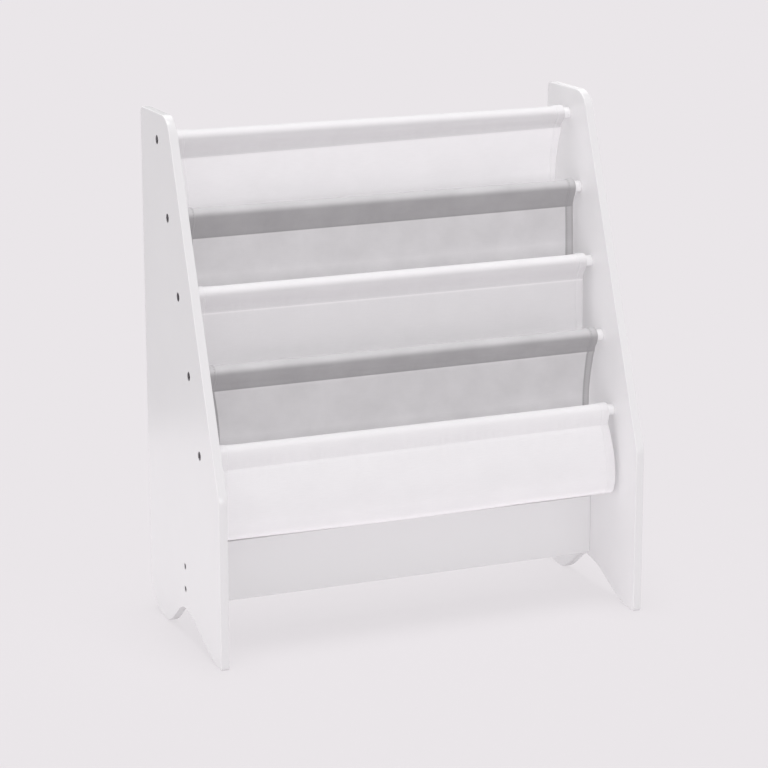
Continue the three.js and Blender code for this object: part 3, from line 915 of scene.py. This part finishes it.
# Between which heights above its axis, in radii, the cloth of a sleeve comes to lie on the rod and
# turns lighter as painted light from above, and how much cloth faces down where the front sling's
# lower edge starts to take its painted highlight and takes all of it.
LIT_TOP_HEIGHTS, FACING_DOWN = (-0.2, 0.9), (0.3, 0.7)
# How much painted shade a hem takes between its two folds, how much more along them as painted shade
# in the folds, and how much less on top of a rod as painted light from above.
HEM_MIDDLE, HEM_FOLD_SHADE, HEM_TOP_LIGHT = 0.80, 0.50, 0.4
# Where a hem's inner fold lies and where it is stitched, as shares of its width, and how wide its
# outer fold looks, in thicknesses of cloth.
INNER_FOLD, HEM_STITCH, OUTER_FOLD = 0.9, 0.8, 1.8


def seam_place(sizes, number):
    """How far behind its rod's axis the seam of a sling lies."""
    return -sizes.front_seam_forward if number == ROD_COUNT else 0.0


def pocket_shape(sizes, number):
    """Pocket number lies between rods number and number + 1: its walls' planes and its bottom."""
    axes = rod_axes()
    rear_y, (front_y, front_z) = axes[number - 1][0], axes[number]
    is_front = number + 1 == ROD_COUNT
    belly = sizes.front_belly if is_front else -sizes.wall_spread
    bottom = front_z - sizes.pocket_drop
    return {
        "rear": rear_y + seam_place(sizes, number) - sizes.wall_spread,
        "front": front_y + seam_place(sizes, number + 1) - belly,
        "bottom": bottom,
        "turn": bottom + (sizes.front_turn if is_front else sizes.pocket_turn),
        "squareness": sizes.front_squareness if is_front else 2.0,
        "roll": sizes.front_roll if is_front else 0.0,
    }


def wall_run(sizes, top, plane, pocket):
    """One hanging wall, from its seam down.

    It eases by a sine from the seam out to its own plane, turns under the pocket along a quarter of
    a superellipse, and bends up into the sewn edge in the middle. A roll just below the seam swells
    and fades by exponentials of the distance down.
    """
    middle = (pocket["rear"] + pocket["front"]) / 2
    turn_z, bottom = pocket["turn"], pocket["bottom"]
    towards = 1.0 if plane > middle else -1.0
    bend = sizes.thickness
    lip = middle + towards * sizes.layer_gap
    end = lip + towards * bend
    down = np.linspace(0.0, 1.0, WALL_POINTS)
    turn = np.linspace(0.0, math.pi / 2, TURN_POINTS)[1:]
    curl = turn[::CURL_STEP]
    edge = np.linspace(bottom + bend, bottom + sizes.bottom_allowance, EDGE_POINTS)[1:]
    fall_z = top[1] + (turn_z - top[1]) * down
    below = (top[1] - fall_z) / sizes.thickness
    roll = np.exp(-below / ROLL_FADE) - np.exp(-below / ROLL_RISE)
    fall_y = top[0] + (plane - top[0]) * np.sin(down * math.pi / 2) + towards * pocket["roll"] * roll
    power = 2 / pocket["squareness"]
    under_y = end + (plane - end) * np.clip(np.cos(turn), 0.0, 1.0) ** power
    under_z = turn_z + (bottom - turn_z) * np.sin(turn) ** power
    rise_y, rise_z = end - towards * bend * np.sin(curl), bottom + bend * (1 - np.cos(curl))
    y = np.concatenate([fall_y, under_y, rise_y, np.full(len(edge), lip)])
    return np.stack([y, np.concatenate([fall_z, under_z, rise_z, edge])], axis=-1)


def sleeve_side(sizes, seam_top, radius, towards):
    """One side of a sleeve, from the top of its seam to the circle round the rod, and where it joins.

    It is a cubic curve that leaves the seam upright and meets the circle along it, a little above
    the point that a straight line from the seam would touch.
    """
    reach = math.acos(radius / np.linalg.norm(seam_top)) + sizes.sleeve_fullness
    touch = math.atan2(seam_top[1], seam_top[0]) + towards * reach
    end = radius * np.array([math.cos(touch), math.sin(touch)])
    along = towards * np.array([-math.sin(touch), math.cos(touch)])
    handle = SLEEVE_HANDLE * np.linalg.norm(end - seam_top)
    first, second = seam_top + np.array([0.0, handle]), end - handle * along
    t = np.linspace(0.0, 1.0, SIDE_POINTS)[:, None]
    start_part = seam_top * (1 - t) ** 3 + first * 3 * t * (1 - t) ** 2
    return start_part + second * 3 * t ** 2 * (1 - t) + end * t ** 3, touch


def strip_runs(sizes, number, seam_drop):
    """The middle line of a sling's strip in Y and Z, in five runs, each from where the last ends.

    Up the rear wall, up the seam, round the rod, down the seam and down the front wall. The top and
    the lowest sling have no rear wall, so there the strip starts just below the seam.
    """
    centre = rod_axes()[number - 1]
    radius = rod_radius() + sizes.sleeve_gap
    walls, seams, sides, touches = [], [], [], []
    for towards in (1, -1):
        seam_top = np.array([seam_place(sizes, number) + towards * sizes.layer_gap, -seam_drop])
        seam_foot = seam_top - np.array([0.0, sizes.seam_height])
        side, touch = sleeve_side(sizes, seam_top, radius, towards)
        sides.append(side + centre)
        touches.append(touch)
        seams.append(np.stack([seam_top, seam_foot]) + centre)
        foot = seam_foot + centre
        if towards < 0:
            pocket = pocket_shape(sizes, min(number, ROD_COUNT - 1))
            plane = pocket["front"] if number == ROD_COUNT else pocket["rear"]
            walls.append(wall_run(sizes, foot, plane, pocket))
        elif 1 < number < ROD_COUNT:
            pocket = pocket_shape(sizes, number - 1)
            walls.append(wall_run(sizes, foot, pocket["front"], pocket))
        else:
            walls.append(np.stack([foot, foot - np.array([0.0, sizes.allowance])]))
    turn = np.linspace(touches[0], touches[1] + 2 * math.pi, OVER_POINTS)[1:-1]
    arc = centre + radius * on_circle(turn)
    sleeve = np.concatenate([sides[0], arc, sides[1][::-1]])
    return [walls[0][::-1], seams[0][::-1], sleeve, seams[1], walls[1]]


def strip_grid(sizes, number):
    """The rows of a strip at its left and right end, their place along the flat strip, and its seams.

    Both ends have the same number of rows in each run, so that a seam may slope along the shelf.
    """
    ends = [strip_runs(sizes, number, drop) for drop in SEAM_DROPS[number - 1]]
    seam_step = sizes.seam_height / 4
    steps = [sizes.row_step, seam_step, sizes.fine_row_step, seam_step, sizes.row_step]
    lines, first_rows = [[], []], [0]
    for left, right, step in zip(*ends, steps):
        count = max(4, int(round(run_length(left)[-1] / step)) + 1)
        for line, run in zip(lines, (left, right)):
            line.append(points_along(run, np.linspace(0.0, 1.0, count))[1 if line else 0:])
        first_rows.append(first_rows[-1] + count - 1)
    lines = [np.concatenate(line) for line in lines]
    rows = (run_length(lines[0]) + run_length(lines[1])) / 2
    seams = [(rows[first_rows[k]] + rows[first_rows[k + 1]]) / 2 for k in (1, 3)]
    return lines, rows, seams


def column_places(sizes, half):
    """Where the columns lie across the strip: close together at the folded edges and the hems."""
    round_edge = sizes.thickness * (1 - np.cos(np.linspace(0.0, math.pi / 2, FOLD_COLUMNS)))
    hem, rise = sizes.hem_width, sizes.hem_rise
    inner_edge = spread(hem - 1.5 * rise, hem + 1.5 * rise, rise / 2)
    fold = spread(round_edge[-1], inner_edge[0], sizes.column_step)
    from_edge = np.concatenate([round_edge, fold[1:], inner_edge[1:]])
    middle = spread(-half + from_edge[-1], half - from_edge[-1], sizes.column_step)
    return np.concatenate([-half + from_edge, middle[1:-1], (half - from_edge)[::-1]])


def surface_normals(grid):
    """Unit vectors that stand on a grid of points, on the side that faces away from the rod."""
    normals = np.cross(np.gradient(grid, axis=0), np.gradient(grid, axis=1))
    return normals / np.linalg.norm(normals, axis=-1, keepdims=True)


def slack(sizes, marks, number):
    """How far a sling's cloth stands off its smooth shape: slack waves, puckers and puffed ends.

    The walls carry long soft waves, which fade out at the seam and at the bottom. Beside a seam the
    thread draws the cloth up into small puckers that die away within a few of their widths.
    """
    s, x, half = marks["s"], marks["x"], marks["half"]
    rear_seam, front_seam = marks["seams"]
    beyond = np.maximum(s - front_seam, rear_seam - s)
    front = s > (rear_seam + front_seam) / 2
    left_over = np.where(front, marks["rows"][-1] - s, s)
    leg = np.where(front, 0.0, NOISE_REAR)
    width = sizes.wave_width
    along, down = SHORT_ALONG * width, SHORT_DOWN * width
    long_waves = smooth_noise(x / width + NOISE_MIDDLE, beyond / (LONG_DOWN * width) + leg, number)
    short_waves = smooth_noise(x / along + NOISE_MIDDLE, beyond / down + leg, number + SHORT_SEED)
    reach = PUCKER_RUN * sizes.pucker_width
    fade = eased(0.0, reach, beyond) * eased(0.0, reach, left_over)
    waves = sizes.wave_height * (LONG_PART * long_waves + (1 - LONG_PART) * short_waves) * fade
    crease = smooth_noise(2 * x / sizes.pucker_width, beyond / reach + leg, number + PUCKER_SEED)
    near = np.exp(-np.abs(beyond) / (PUCKER_FADE * sizes.pucker_width))
    puckers = sizes.pucker_height * crease * near * eased(0.0, sizes.seam_height, np.abs(beyond))
    on_sleeve = eased(0.0, sizes.seam_height * PUFF_RISE, -beyond)
    at_end = 1 - eased(0.0, PUFF_REACH * sizes.hem_width, half - np.abs(x))
    puff = sizes.sleeve_puff * on_sleeve * at_end
    return waves + puckers + puff


def cloth_surface(sizes, number):
    """The middle surface of a sling, its outward unit vectors, and the marks that sewing follows.

    The strip's line is carried along the shelf from its left to its right end. Below the rod its
    side edges draw in by the sixth power of the distance from the middle, and below the seam the
    span sags by a parabola.
    """
    lines, rows, seams = strip_grid(sizes, number)
    half = inner_x() - sizes.end_clearance
    columns = column_places(sizes, half)
    s, x = np.meshgrid(rows, columns, indexing="ij")
    across = x / half
    rightward = ((across + 1) / 2)[..., None]
    flat = lines[0][:, None] * (1 - rightward) + lines[1][:, None] * rightward
    marks = {"rows": rows, "columns": columns, "seams": seams, "half": half, "s": s, "x": x}
    smooth = np.stack([x, flat[..., 0], flat[..., 1]], axis=-1)
    smooth += surface_normals(smooth) * slack(sizes, marks, number)[..., None]
    centre_z = rod_axes()[number - 1][1]
    seam_z = centre_z - np.mean(SEAM_DROPS[number - 1])
    z = smooth[..., 2]
    to_seam = eased(centre_z, seam_z, z)
    below = np.sin(np.clip((seam_z - z) / sizes.draw_reach, 0.0, 1.0) * math.pi / 2)
    at_seam, at_wall = SEAM_DRAW[number - 1], WALL_DRAW[number - 1]
    draw = (at_seam * to_seam + (at_wall - at_seam) * below) * np.abs(across) ** DRAW_POWER
    smooth[..., 0] -= np.sign(x) * draw
    smooth[..., 2] -= sizes.middle_sag * below * (1 - across ** 2)
    return smooth, surface_normals(smooth), marks


def sampled(grid, marks, s, x):
    """A grid of points read between its rows and columns, by bilinear weights."""
    rows, columns = marks["rows"], marks["columns"]
    r = np.clip(np.searchsorted(rows, s) - 1, 0, len(rows) - 2)
    c = np.clip(np.searchsorted(columns, x) - 1, 0, len(columns) - 2)
    fr = ((s - rows[r]) / (rows[r + 1] - rows[r]))[:, None]
    fc = ((x - columns[c]) / (columns[c + 1] - columns[c]))[:, None]
    near = grid[r, c] * (1 - fc) + grid[r, c + 1] * fc
    far = grid[r + 1, c] * (1 - fc) + grid[r + 1, c + 1] * fc
    return near * (1 - fr) + far * fr


def hem_share(sizes, marks):
    """1 on the turned hems along the side edges and 0 elsewhere."""
    from_end = marks["half"] - np.abs(marks["x"])
    return 1 - eased(sizes.hem_width - sizes.hem_rise, sizes.hem_width + sizes.hem_rise, from_end)


def layer_shade_share(sizes, marks, number, surface, hem):
    """How much painted shade cloth takes: 1 where it lies double, 0 where it is single, and between.

    A sleeve takes it from its seam up to where the cloth comes to lie on the white rod, and less above
    that as painted light from above. hem is how much the hems take, more along both of their folds as
    painted shade in the folds.
    """
    s = marks["s"]
    rear_seam, front_seam = marks["seams"]
    edge = sizes.seam_height / 2
    sleeve = eased(rear_seam - edge, rear_seam - edge / 2, s)
    sleeve = sleeve * (1 - eased(front_seam + edge / 2, front_seam + edge, s))
    height = (surface[..., 2] - rod_axes()[number - 1][1]) / rod_radius()
    lit_top = eased(*LIT_TOP_HEIGHTS, height)
    below, top_shade = SLEEVE_SHADE[number - 1]
    sleeve = sleeve * (below + (top_shade - below) * lit_top)
    from_end = marks["half"] - np.abs(marks["x"])
    inner_fold = np.exp(-((from_end - INNER_FOLD * sizes.hem_width) / sizes.thickness) ** 2)
    outer_fold = np.exp(-(from_end / (OUTER_FOLD * sizes.thickness)) ** 2)
    folds = HEM_MIDDLE + HEM_FOLD_SHADE * np.maximum(inner_fold, outer_fold)
    return np.maximum(sleeve, hem * folds * (1 - HEM_TOP_LIGHT * lit_top) * hem_share(sizes, marks))


def wall_painted_light(sizes, marks, number, outwards):
    """How much light is painted into the cloth: as listed for each wall below its front seam, and 1
    elsewhere.

    It changes by the fifth power of the way down. The front sling's folded lower edge, where its
    cloth faces down, is lighter as a painted highlight.
    """
    beyond = marks["s"] - marks["seams"][1] - sizes.seam_height / 2
    upper, lower, reach = WALL_PAINTED_LIGHT[number - 1]
    tone = upper + (lower - upper) * np.clip(beyond / reach, 0.0, 1.0) ** PAINTED_LIGHT_POWER
    if number == ROD_COUNT:
        tone = tone + sizes.fold_highlight * eased(*FACING_DOWN, -outwards[..., 2])
    return 1 + (tone - 1) * eased(0.0, sizes.seam_height, beyond)


def build_cloth(sizes, number, material, slot, hem):
    """One sling as a closed sheet: its outer face, its inner face and the folded edges between."""
    middle, outwards, marks = cloth_surface(sizes, number)
    from_end = marks["half"] - np.abs(marks["x"])
    towards_edge = 1 - np.clip(from_end / sizes.thickness, 0.0, 1.0)
    fullness = np.sqrt(np.clip(1 - towards_edge ** 2, EDGE_KEEPS ** 2, 1.0))
    front = (sizes.thickness / 2 + sizes.hem_rise * hem_share(sizes, marks)) * fullness
    back = sizes.thickness / 2 * fullness
    outer, inner = middle + outwards * front[..., None], middle - outwards * back[..., None]
    rows, columns = marks["x"].shape
    count = rows * columns
    ids = np.arange(count).reshape(rows, columns)
    rims = []
    for edge in (ids[0], ids[-1, ::-1], ids[::-1, 0], ids[:, -1]):
        a, b = edge[:-1], edge[1:]
        rims.append(np.stack([a, b, b + count, a + count], axis=-1))
    sheet = grid_faces(rows, columns)
    faces = [sheet[:, ::-1], sheet + count, np.concatenate(rims)]
    points = np.concatenate([outer.reshape(-1, 3), inner.reshape(-1, 3)])
    piece = build_piece(f"sling_cloth_{number}", points, faces, material)
    # The layers attribute is painted shade where the cloth lies double and on the hems.
    layers = layer_shade_share(sizes, marks, number, middle, hem)
    # The tone attribute is painted light on the outer face only: lighter deeper in each pocket, and a
    # painted highlight on the front sling's lower fold.
    tone = wall_painted_light(sizes, marks, number, outwards)
    set_attribute(piece, "layers", np.tile(layers.ravel(), 2))
    set_attribute(piece, "tone", np.concatenate([tone.ravel(), np.ones(count)]))
    corners = np.empty(len(piece.data.loops), dtype=np.int32)
    piece.data.loops.foreach_get("vertex_index", corners)
    flat_place = np.stack([marks["x"] + marks["half"], marks["s"]], axis=-1).reshape(-1, 2)
    cloth_map = piece.data.uv_layers.new(name="cloth")
    cloth_map.data.foreach_set("uv", flat_place[corners % count].astype(np.float32).ravel())
    place_on_shelf(piece, slot, f"sling_{number}")
    return piece, outer, outwards, marks


def stitch_lines(sizes, marks):
    """Where the stitches lie on a strip: along both faces of its seam and down its two hems."""
    half, pitch = marks["half"], sizes.stitch_pitch
    margin = sizes.hem_width / 2
    x = spread(-half + margin, half - margin, pitch)
    s = spread(marks["rows"][0] + pitch, marks["rows"][-1] - pitch, pitch)
    from_edge = HEM_STITCH * sizes.hem_width
    seams = [(np.full_like(x, place), x) for place in marks["seams"]]
    hems = [(s, np.full_like(s, side * (half - from_edge))) for side in (-1, 1)]
    return seams, hems


def build_stitches(sizes, number, outer, outwards, marks, material, slot):
    """The thread of one sling: each stitch is a short bead whose two ends dip into the cloth."""
    seams, hems = stitch_lines(sizes, marks)
    half_stitch = sizes.stitch_length / 2
    centres, alongs, normals = [], [], []
    for lines, ahead in ((seams, (0.0, half_stitch)), (hems, (half_stitch, 0.0))):
        for s, x in lines:
            centre = sampled(outer, marks, s, x)
            beyond = sampled(outer, marks, s + ahead[0], x + ahead[1])
            along = beyond - centre
            centres.append(centre)
            alongs.append(along / np.linalg.norm(along, axis=1, keepdims=True))
            normals.append(sampled(outwards, marks, s, x))
    centre, along, normal = np.concatenate(centres), np.concatenate(alongs), np.concatenate(normals)
    aside = np.cross(along, normal)
    radius, sides = sizes.thread / 2, 6
    place = np.array([-1.0, -0.5, 0.5, 1.0]) * half_stitch
    swell = np.array([0.4, 1.0, 1.0, 0.4]) * radius
    lift = np.array([-0.8, 0.4, 0.4, -0.8]) * radius
    turn = full_turn(sides)
    up = lift[:, None] + swell[:, None] * np.cos(turn)
    across = swell[:, None] * np.sin(turn)
    points = (centre[:, None, None] + along[:, None, None] * place[None, :, None, None]
              + normal[:, None, None] * up[None, ..., None] + aside[:, None, None] * across[None, ..., None])
    count, rings = len(centre), len(place)
    one = grid_faces(rings, sides, close_columns=True)
    shift = (np.arange(count) * rings * sides)[:, None, None]
    ends = np.stack([np.arange(sides)[::-1], (rings - 1) * sides + np.arange(sides)])
    faces = [(one[None] + shift).reshape(-1, 4), (ends[None] + shift).reshape(-1, sides)]
    piece = build_piece(f"sling_thread_{number}", points.reshape(-1, 3), faces, material)
    place_on_shelf(piece, slot)
    return piece


# The operators

# Where each lamp stands: how far round to the right of the shelf's front and how high, in degrees,
# and whether it casts a shadow. The two low ones are soft fills that cast none.
LAMPS = {"top": (0, 90, True), "left": (-110, 0, False), "front": (5, 0, False)}


class SHELF_OT_stage(bpy.types.Operator):
    """Sets up the camera, the lamps and the pale floor"""

    bl_idname = "shelf.stage"
    bl_label = "Stage"

    def execute(self, context):
        stage, colours = context.scene.shelf_stage, context.scene.shelf_colour
        context.scene.view_settings.view_transform = "Standard"
        set_camera(context, stage)
        set_world(context, stage, colours)
        set_floor(stage, colours)
        set_card(stage, colours)
        set_lamps(context, stage)
        return {"FINISHED"}


def set_camera(context, stage):
    """A level camera turned, dipped and rolled about its own axes."""
    turn, dip, roll = stage.camera_turn, stage.camera_dip, stage.camera_roll
    ahead = Vector((math.sin(turn) * math.cos(dip), math.cos(turn) * math.cos(dip), -math.sin(dip)))
    level = Vector((math.cos(turn), -math.sin(turn), 0.0))
    upright = level.cross(ahead)
    right = level * math.cos(roll) + upright * math.sin(roll)
    up = upright * math.cos(roll) - level * math.sin(roll)
    data = bpy.data.cameras.new("camera")
    data.lens, data.sensor_width, data.clip_end = stage.lens, stage.sensor, 2 * stage.floor_size
    camera = bpy.data.objects.new("camera", data)
    context.scene.collection.objects.link(camera)
    axes = Matrix((right, up, -ahead)).transposed().to_4x4()
    camera.matrix_world = Matrix.Translation(stage.camera_place) @ axes
    context.scene.camera = camera


def set_world(context, stage, colours):
    """An even sky that lights the shelf, and a background of the floor's colour behind it."""
    studio = Finish("studio", "World")
    sky = studio.add("ShaderNodeBackground", {"Color": opaque((1.0, 1.0, 1.0)), "Strength": stage.sky})
    backdrop = studio.add("ShaderNodeBackground", {"Color": opaque(colours.floor)})
    mix = studio.add("ShaderNodeMixShader", {0: studio.seen(), 1: sky.outputs[0], 2: backdrop.outputs[0]})
    context.scene.world = studio.cover(mix)


def set_floor(stage, colours):
    """A wide matte floor. Seen directly, most of its colour is its own, so its shadow is pale."""
    finish = Finish("studio_floor")
    matte = finish.add("ShaderNodeBsdfDiffuse", {"Color": opaque(colours.floor)})
    own = finish.add("ShaderNodeEmission", {"Color": opaque(colours.floor)})
    part = finish.maths("MULTIPLY", finish.seen(), stage.floor_glow)
    mix = finish.add("ShaderNodeMixShader", {0: part, 1: matte.outputs[0], 2: own.outputs[0]})
    x, y = stage.floor_size / 2 * np.array([[-1.0, 1.0, -1.0, 1.0], [-1.0, -1.0, 1.0, 1.0]])
    stage_sheet("studio_floor", x, y, np.zeros(4), finish.cover(mix))


def set_card(stage, colours):
    """A dark card upright behind the shelf, seen only as a reflection in the satin paint."""
    finish = Finish("studio_card")
    matte = finish.add("ShaderNodeBsdfDiffuse", {"Color": opaque(colours.card)})
    left, right = -stage.card_left * stage.card_width, (1 - stage.card_left) * stage.card_width
    x = np.array([left, right, left, right])
    y = stage.card_place + x * math.tan(stage.card_turn)
    z = stage.card_height * np.array([0.0, 0.0, 1.0, 1.0])
    card = stage_sheet("studio_card", x, y, z, finish.cover(matte))
    card.visible_camera = card.visible_diffuse = card.visible_transmission = card.visible_shadow = False


def stage_sheet(name, x, y, z, material):
    """A flat sheet through four corners, which is not put on the shelf."""
    sheet = build_piece(name, np.stack([x, y, z], axis=-1), [np.array([[0, 1, 3, 2]])], material)
    return sheet


def set_lamps(context, stage):
    """A broad lamp above the shelf and two fills round its front."""
    for name, (turn, height, casts) in LAMPS.items():
        turn, height = math.radians(turn), math.radians(height)
        level = math.cos(height)
        to_lamp = Vector((math.sin(turn) * level, -math.cos(turn) * level, math.sin(height)))
        data = bpy.data.lights.new(f"{name}_lamp", "SUN")
        data.energy, data.angle = getattr(stage, f"{name}_light"), stage.lamp_spread
        data.use_shadow = casts
        lamp = bpy.data.objects.new(f"{name}_lamp", data)
        lamp.rotation_euler = to_lamp.to_track_quat("Z", "Y").to_euler()
        context.scene.collection.objects.link(lamp)


class SHELF_OT_panels(bpy.types.Operator):
    """Builds the two side panels"""

    bl_idname = "shelf.panels"
    bl_label = "Side panels"

    def execute(self, context):
        scene, colours = context.scene, context.scene.shelf_colour
        paint = paint_finish("white_paint", colours.paint, colours.board_roughness, with_painted_light=True)
        for side_name in SIDES:
            build_panel(side_name, scene.shelf_panel, scene.shelf_screw, paint)
        return {"FINISHED"}


class SHELF_OT_stretcher(bpy.types.Operator):
    """Builds the low board between the panels"""

    bl_idname = "shelf.stretcher"
    bl_label = "Stretcher"

    def execute(self, context):
        colours = context.scene.shelf_colour
        # The low board's darker paint is painted shade under the slings.
        paint = paint_finish("stretcher_paint", colours.board_shaded_paint, colours.board_roughness)
        build_stretcher(context.scene.shelf_panel, paint)
        return {"FINISHED"}


class SHELF_OT_rods(bpy.types.Operator):
    """Builds the five round rods"""

    bl_idname = "shelf.rods"
    bl_label = "Rods"

    def execute(self, context):
        colours = context.scene.shelf_colour
        paint = paint_finish("rod_paint", colours.rod_paint, colours.rod_roughness)
        for number in RODS:
            build_rod(number, context.scene.shelf_screw, paint)
        return {"FINISHED"}


class SHELF_OT_slings(bpy.types.Operator):
    """Builds the five cloth slings and their stitching"""

    bl_idname = "shelf.slings"
    bl_label = "Slings"

    def execute(self, context):
        sizes, colours = context.scene.shelf_cloth, context.scene.shelf_colour
        finishes = []
        for tone in ("white", "grey"):
            # Each canvas takes its doubled colour and hem share, which paint shade into it.
            looks = {kind: getattr(colours, f"{tone}_{kind}")
                     for kind in ("cloth", "doubled_shade", "clouds", "thread", "hem")}
            cloth = cloth_finish(f"{tone}_canvas", looks["cloth"], looks["doubled_shade"], looks["clouds"], sizes)
            thread = thread_finish(f"{tone}_thread", looks["thread"])
            finishes.append((f"{tone}_cloth", cloth, thread, looks["hem"]))
        for number in RODS:
            slot, cloth, thread, hem = finishes[(number - 1) % 2]
            piece, outer, outwards, marks = build_cloth(sizes, number, cloth, slot, hem)
            stitches = build_stitches(sizes, number, outer, outwards, marks, thread, slot)
        return {"FINISHED"}


class SHELF_OT_screws(bpy.types.Operator):
    """Builds the countersunk screws"""

    bl_idname = "shelf.screws"
    bl_label = "Screws"

    def execute(self, context):
        scene = context.scene
        steel = steel_finish("screw_steel", scene.shelf_colour.steel)
        for side_name in SIDES:
            for kind, family, count in (("rod", "rod_screw", ROD_COUNT), ("board", "stretcher_screw", 2)):
                for number in range(1, count + 1):
                    node = f"{family}_{side_name}_{number}"
                    build_screw(node, kind, side_name, scene.shelf_screw, steel)
        return {"FINISHED"}


class SHELF_PT_build(bpy.types.Panel):
    """Lists the pieces of the bookshelf and their sizes"""

    bl_idname = "SHELF_PT_build"
    bl_label = "Sling Bookshelf"
    bl_space_type = "VIEW_3D"
    bl_region_type = "UI"
    bl_category = "Bookshelf"

    def draw(self, context):
        for operator in OPERATORS:
            self.layout.operator(operator.bl_idname)
        for name, group in SETTINGS.items():
            box = self.layout.box()
            box.label(text=group.__doc__)
            for setting in group.__annotations__:
                box.prop(getattr(context.scene, name), setting)


OPERATORS = [
    SHELF_OT_stage, SHELF_OT_panels, SHELF_OT_stretcher, SHELF_OT_rods, SHELF_OT_slings, SHELF_OT_screws,
]
CLASSES = [*SETTINGS.values(), *OPERATORS, SHELF_PT_build]


def register():
    """Registers the classes and puts the settings on the scene."""
    for cls in CLASSES:
        bpy.utils.register_class(cls)
    for name, group in SETTINGS.items():
        setattr(bpy.types.Scene, name, PointerProperty(type=group))


def unregister():
    """Takes the settings off the scene and unregisters the classes."""
    for name in SETTINGS:
        delattr(bpy.types.Scene, name)
    for cls in reversed(CLASSES):
        bpy.utils.unregister_class(cls)


def main():
    """Registers the classes and builds the stage and every piece."""
    register()
    bpy.ops.shelf.stage()
    bpy.ops.shelf.panels()
    bpy.ops.shelf.stretcher()
    bpy.ops.shelf.rods()
    bpy.ops.shelf.slings()
    bpy.ops.shelf.screws()


if __name__ == "__main__":
    main()
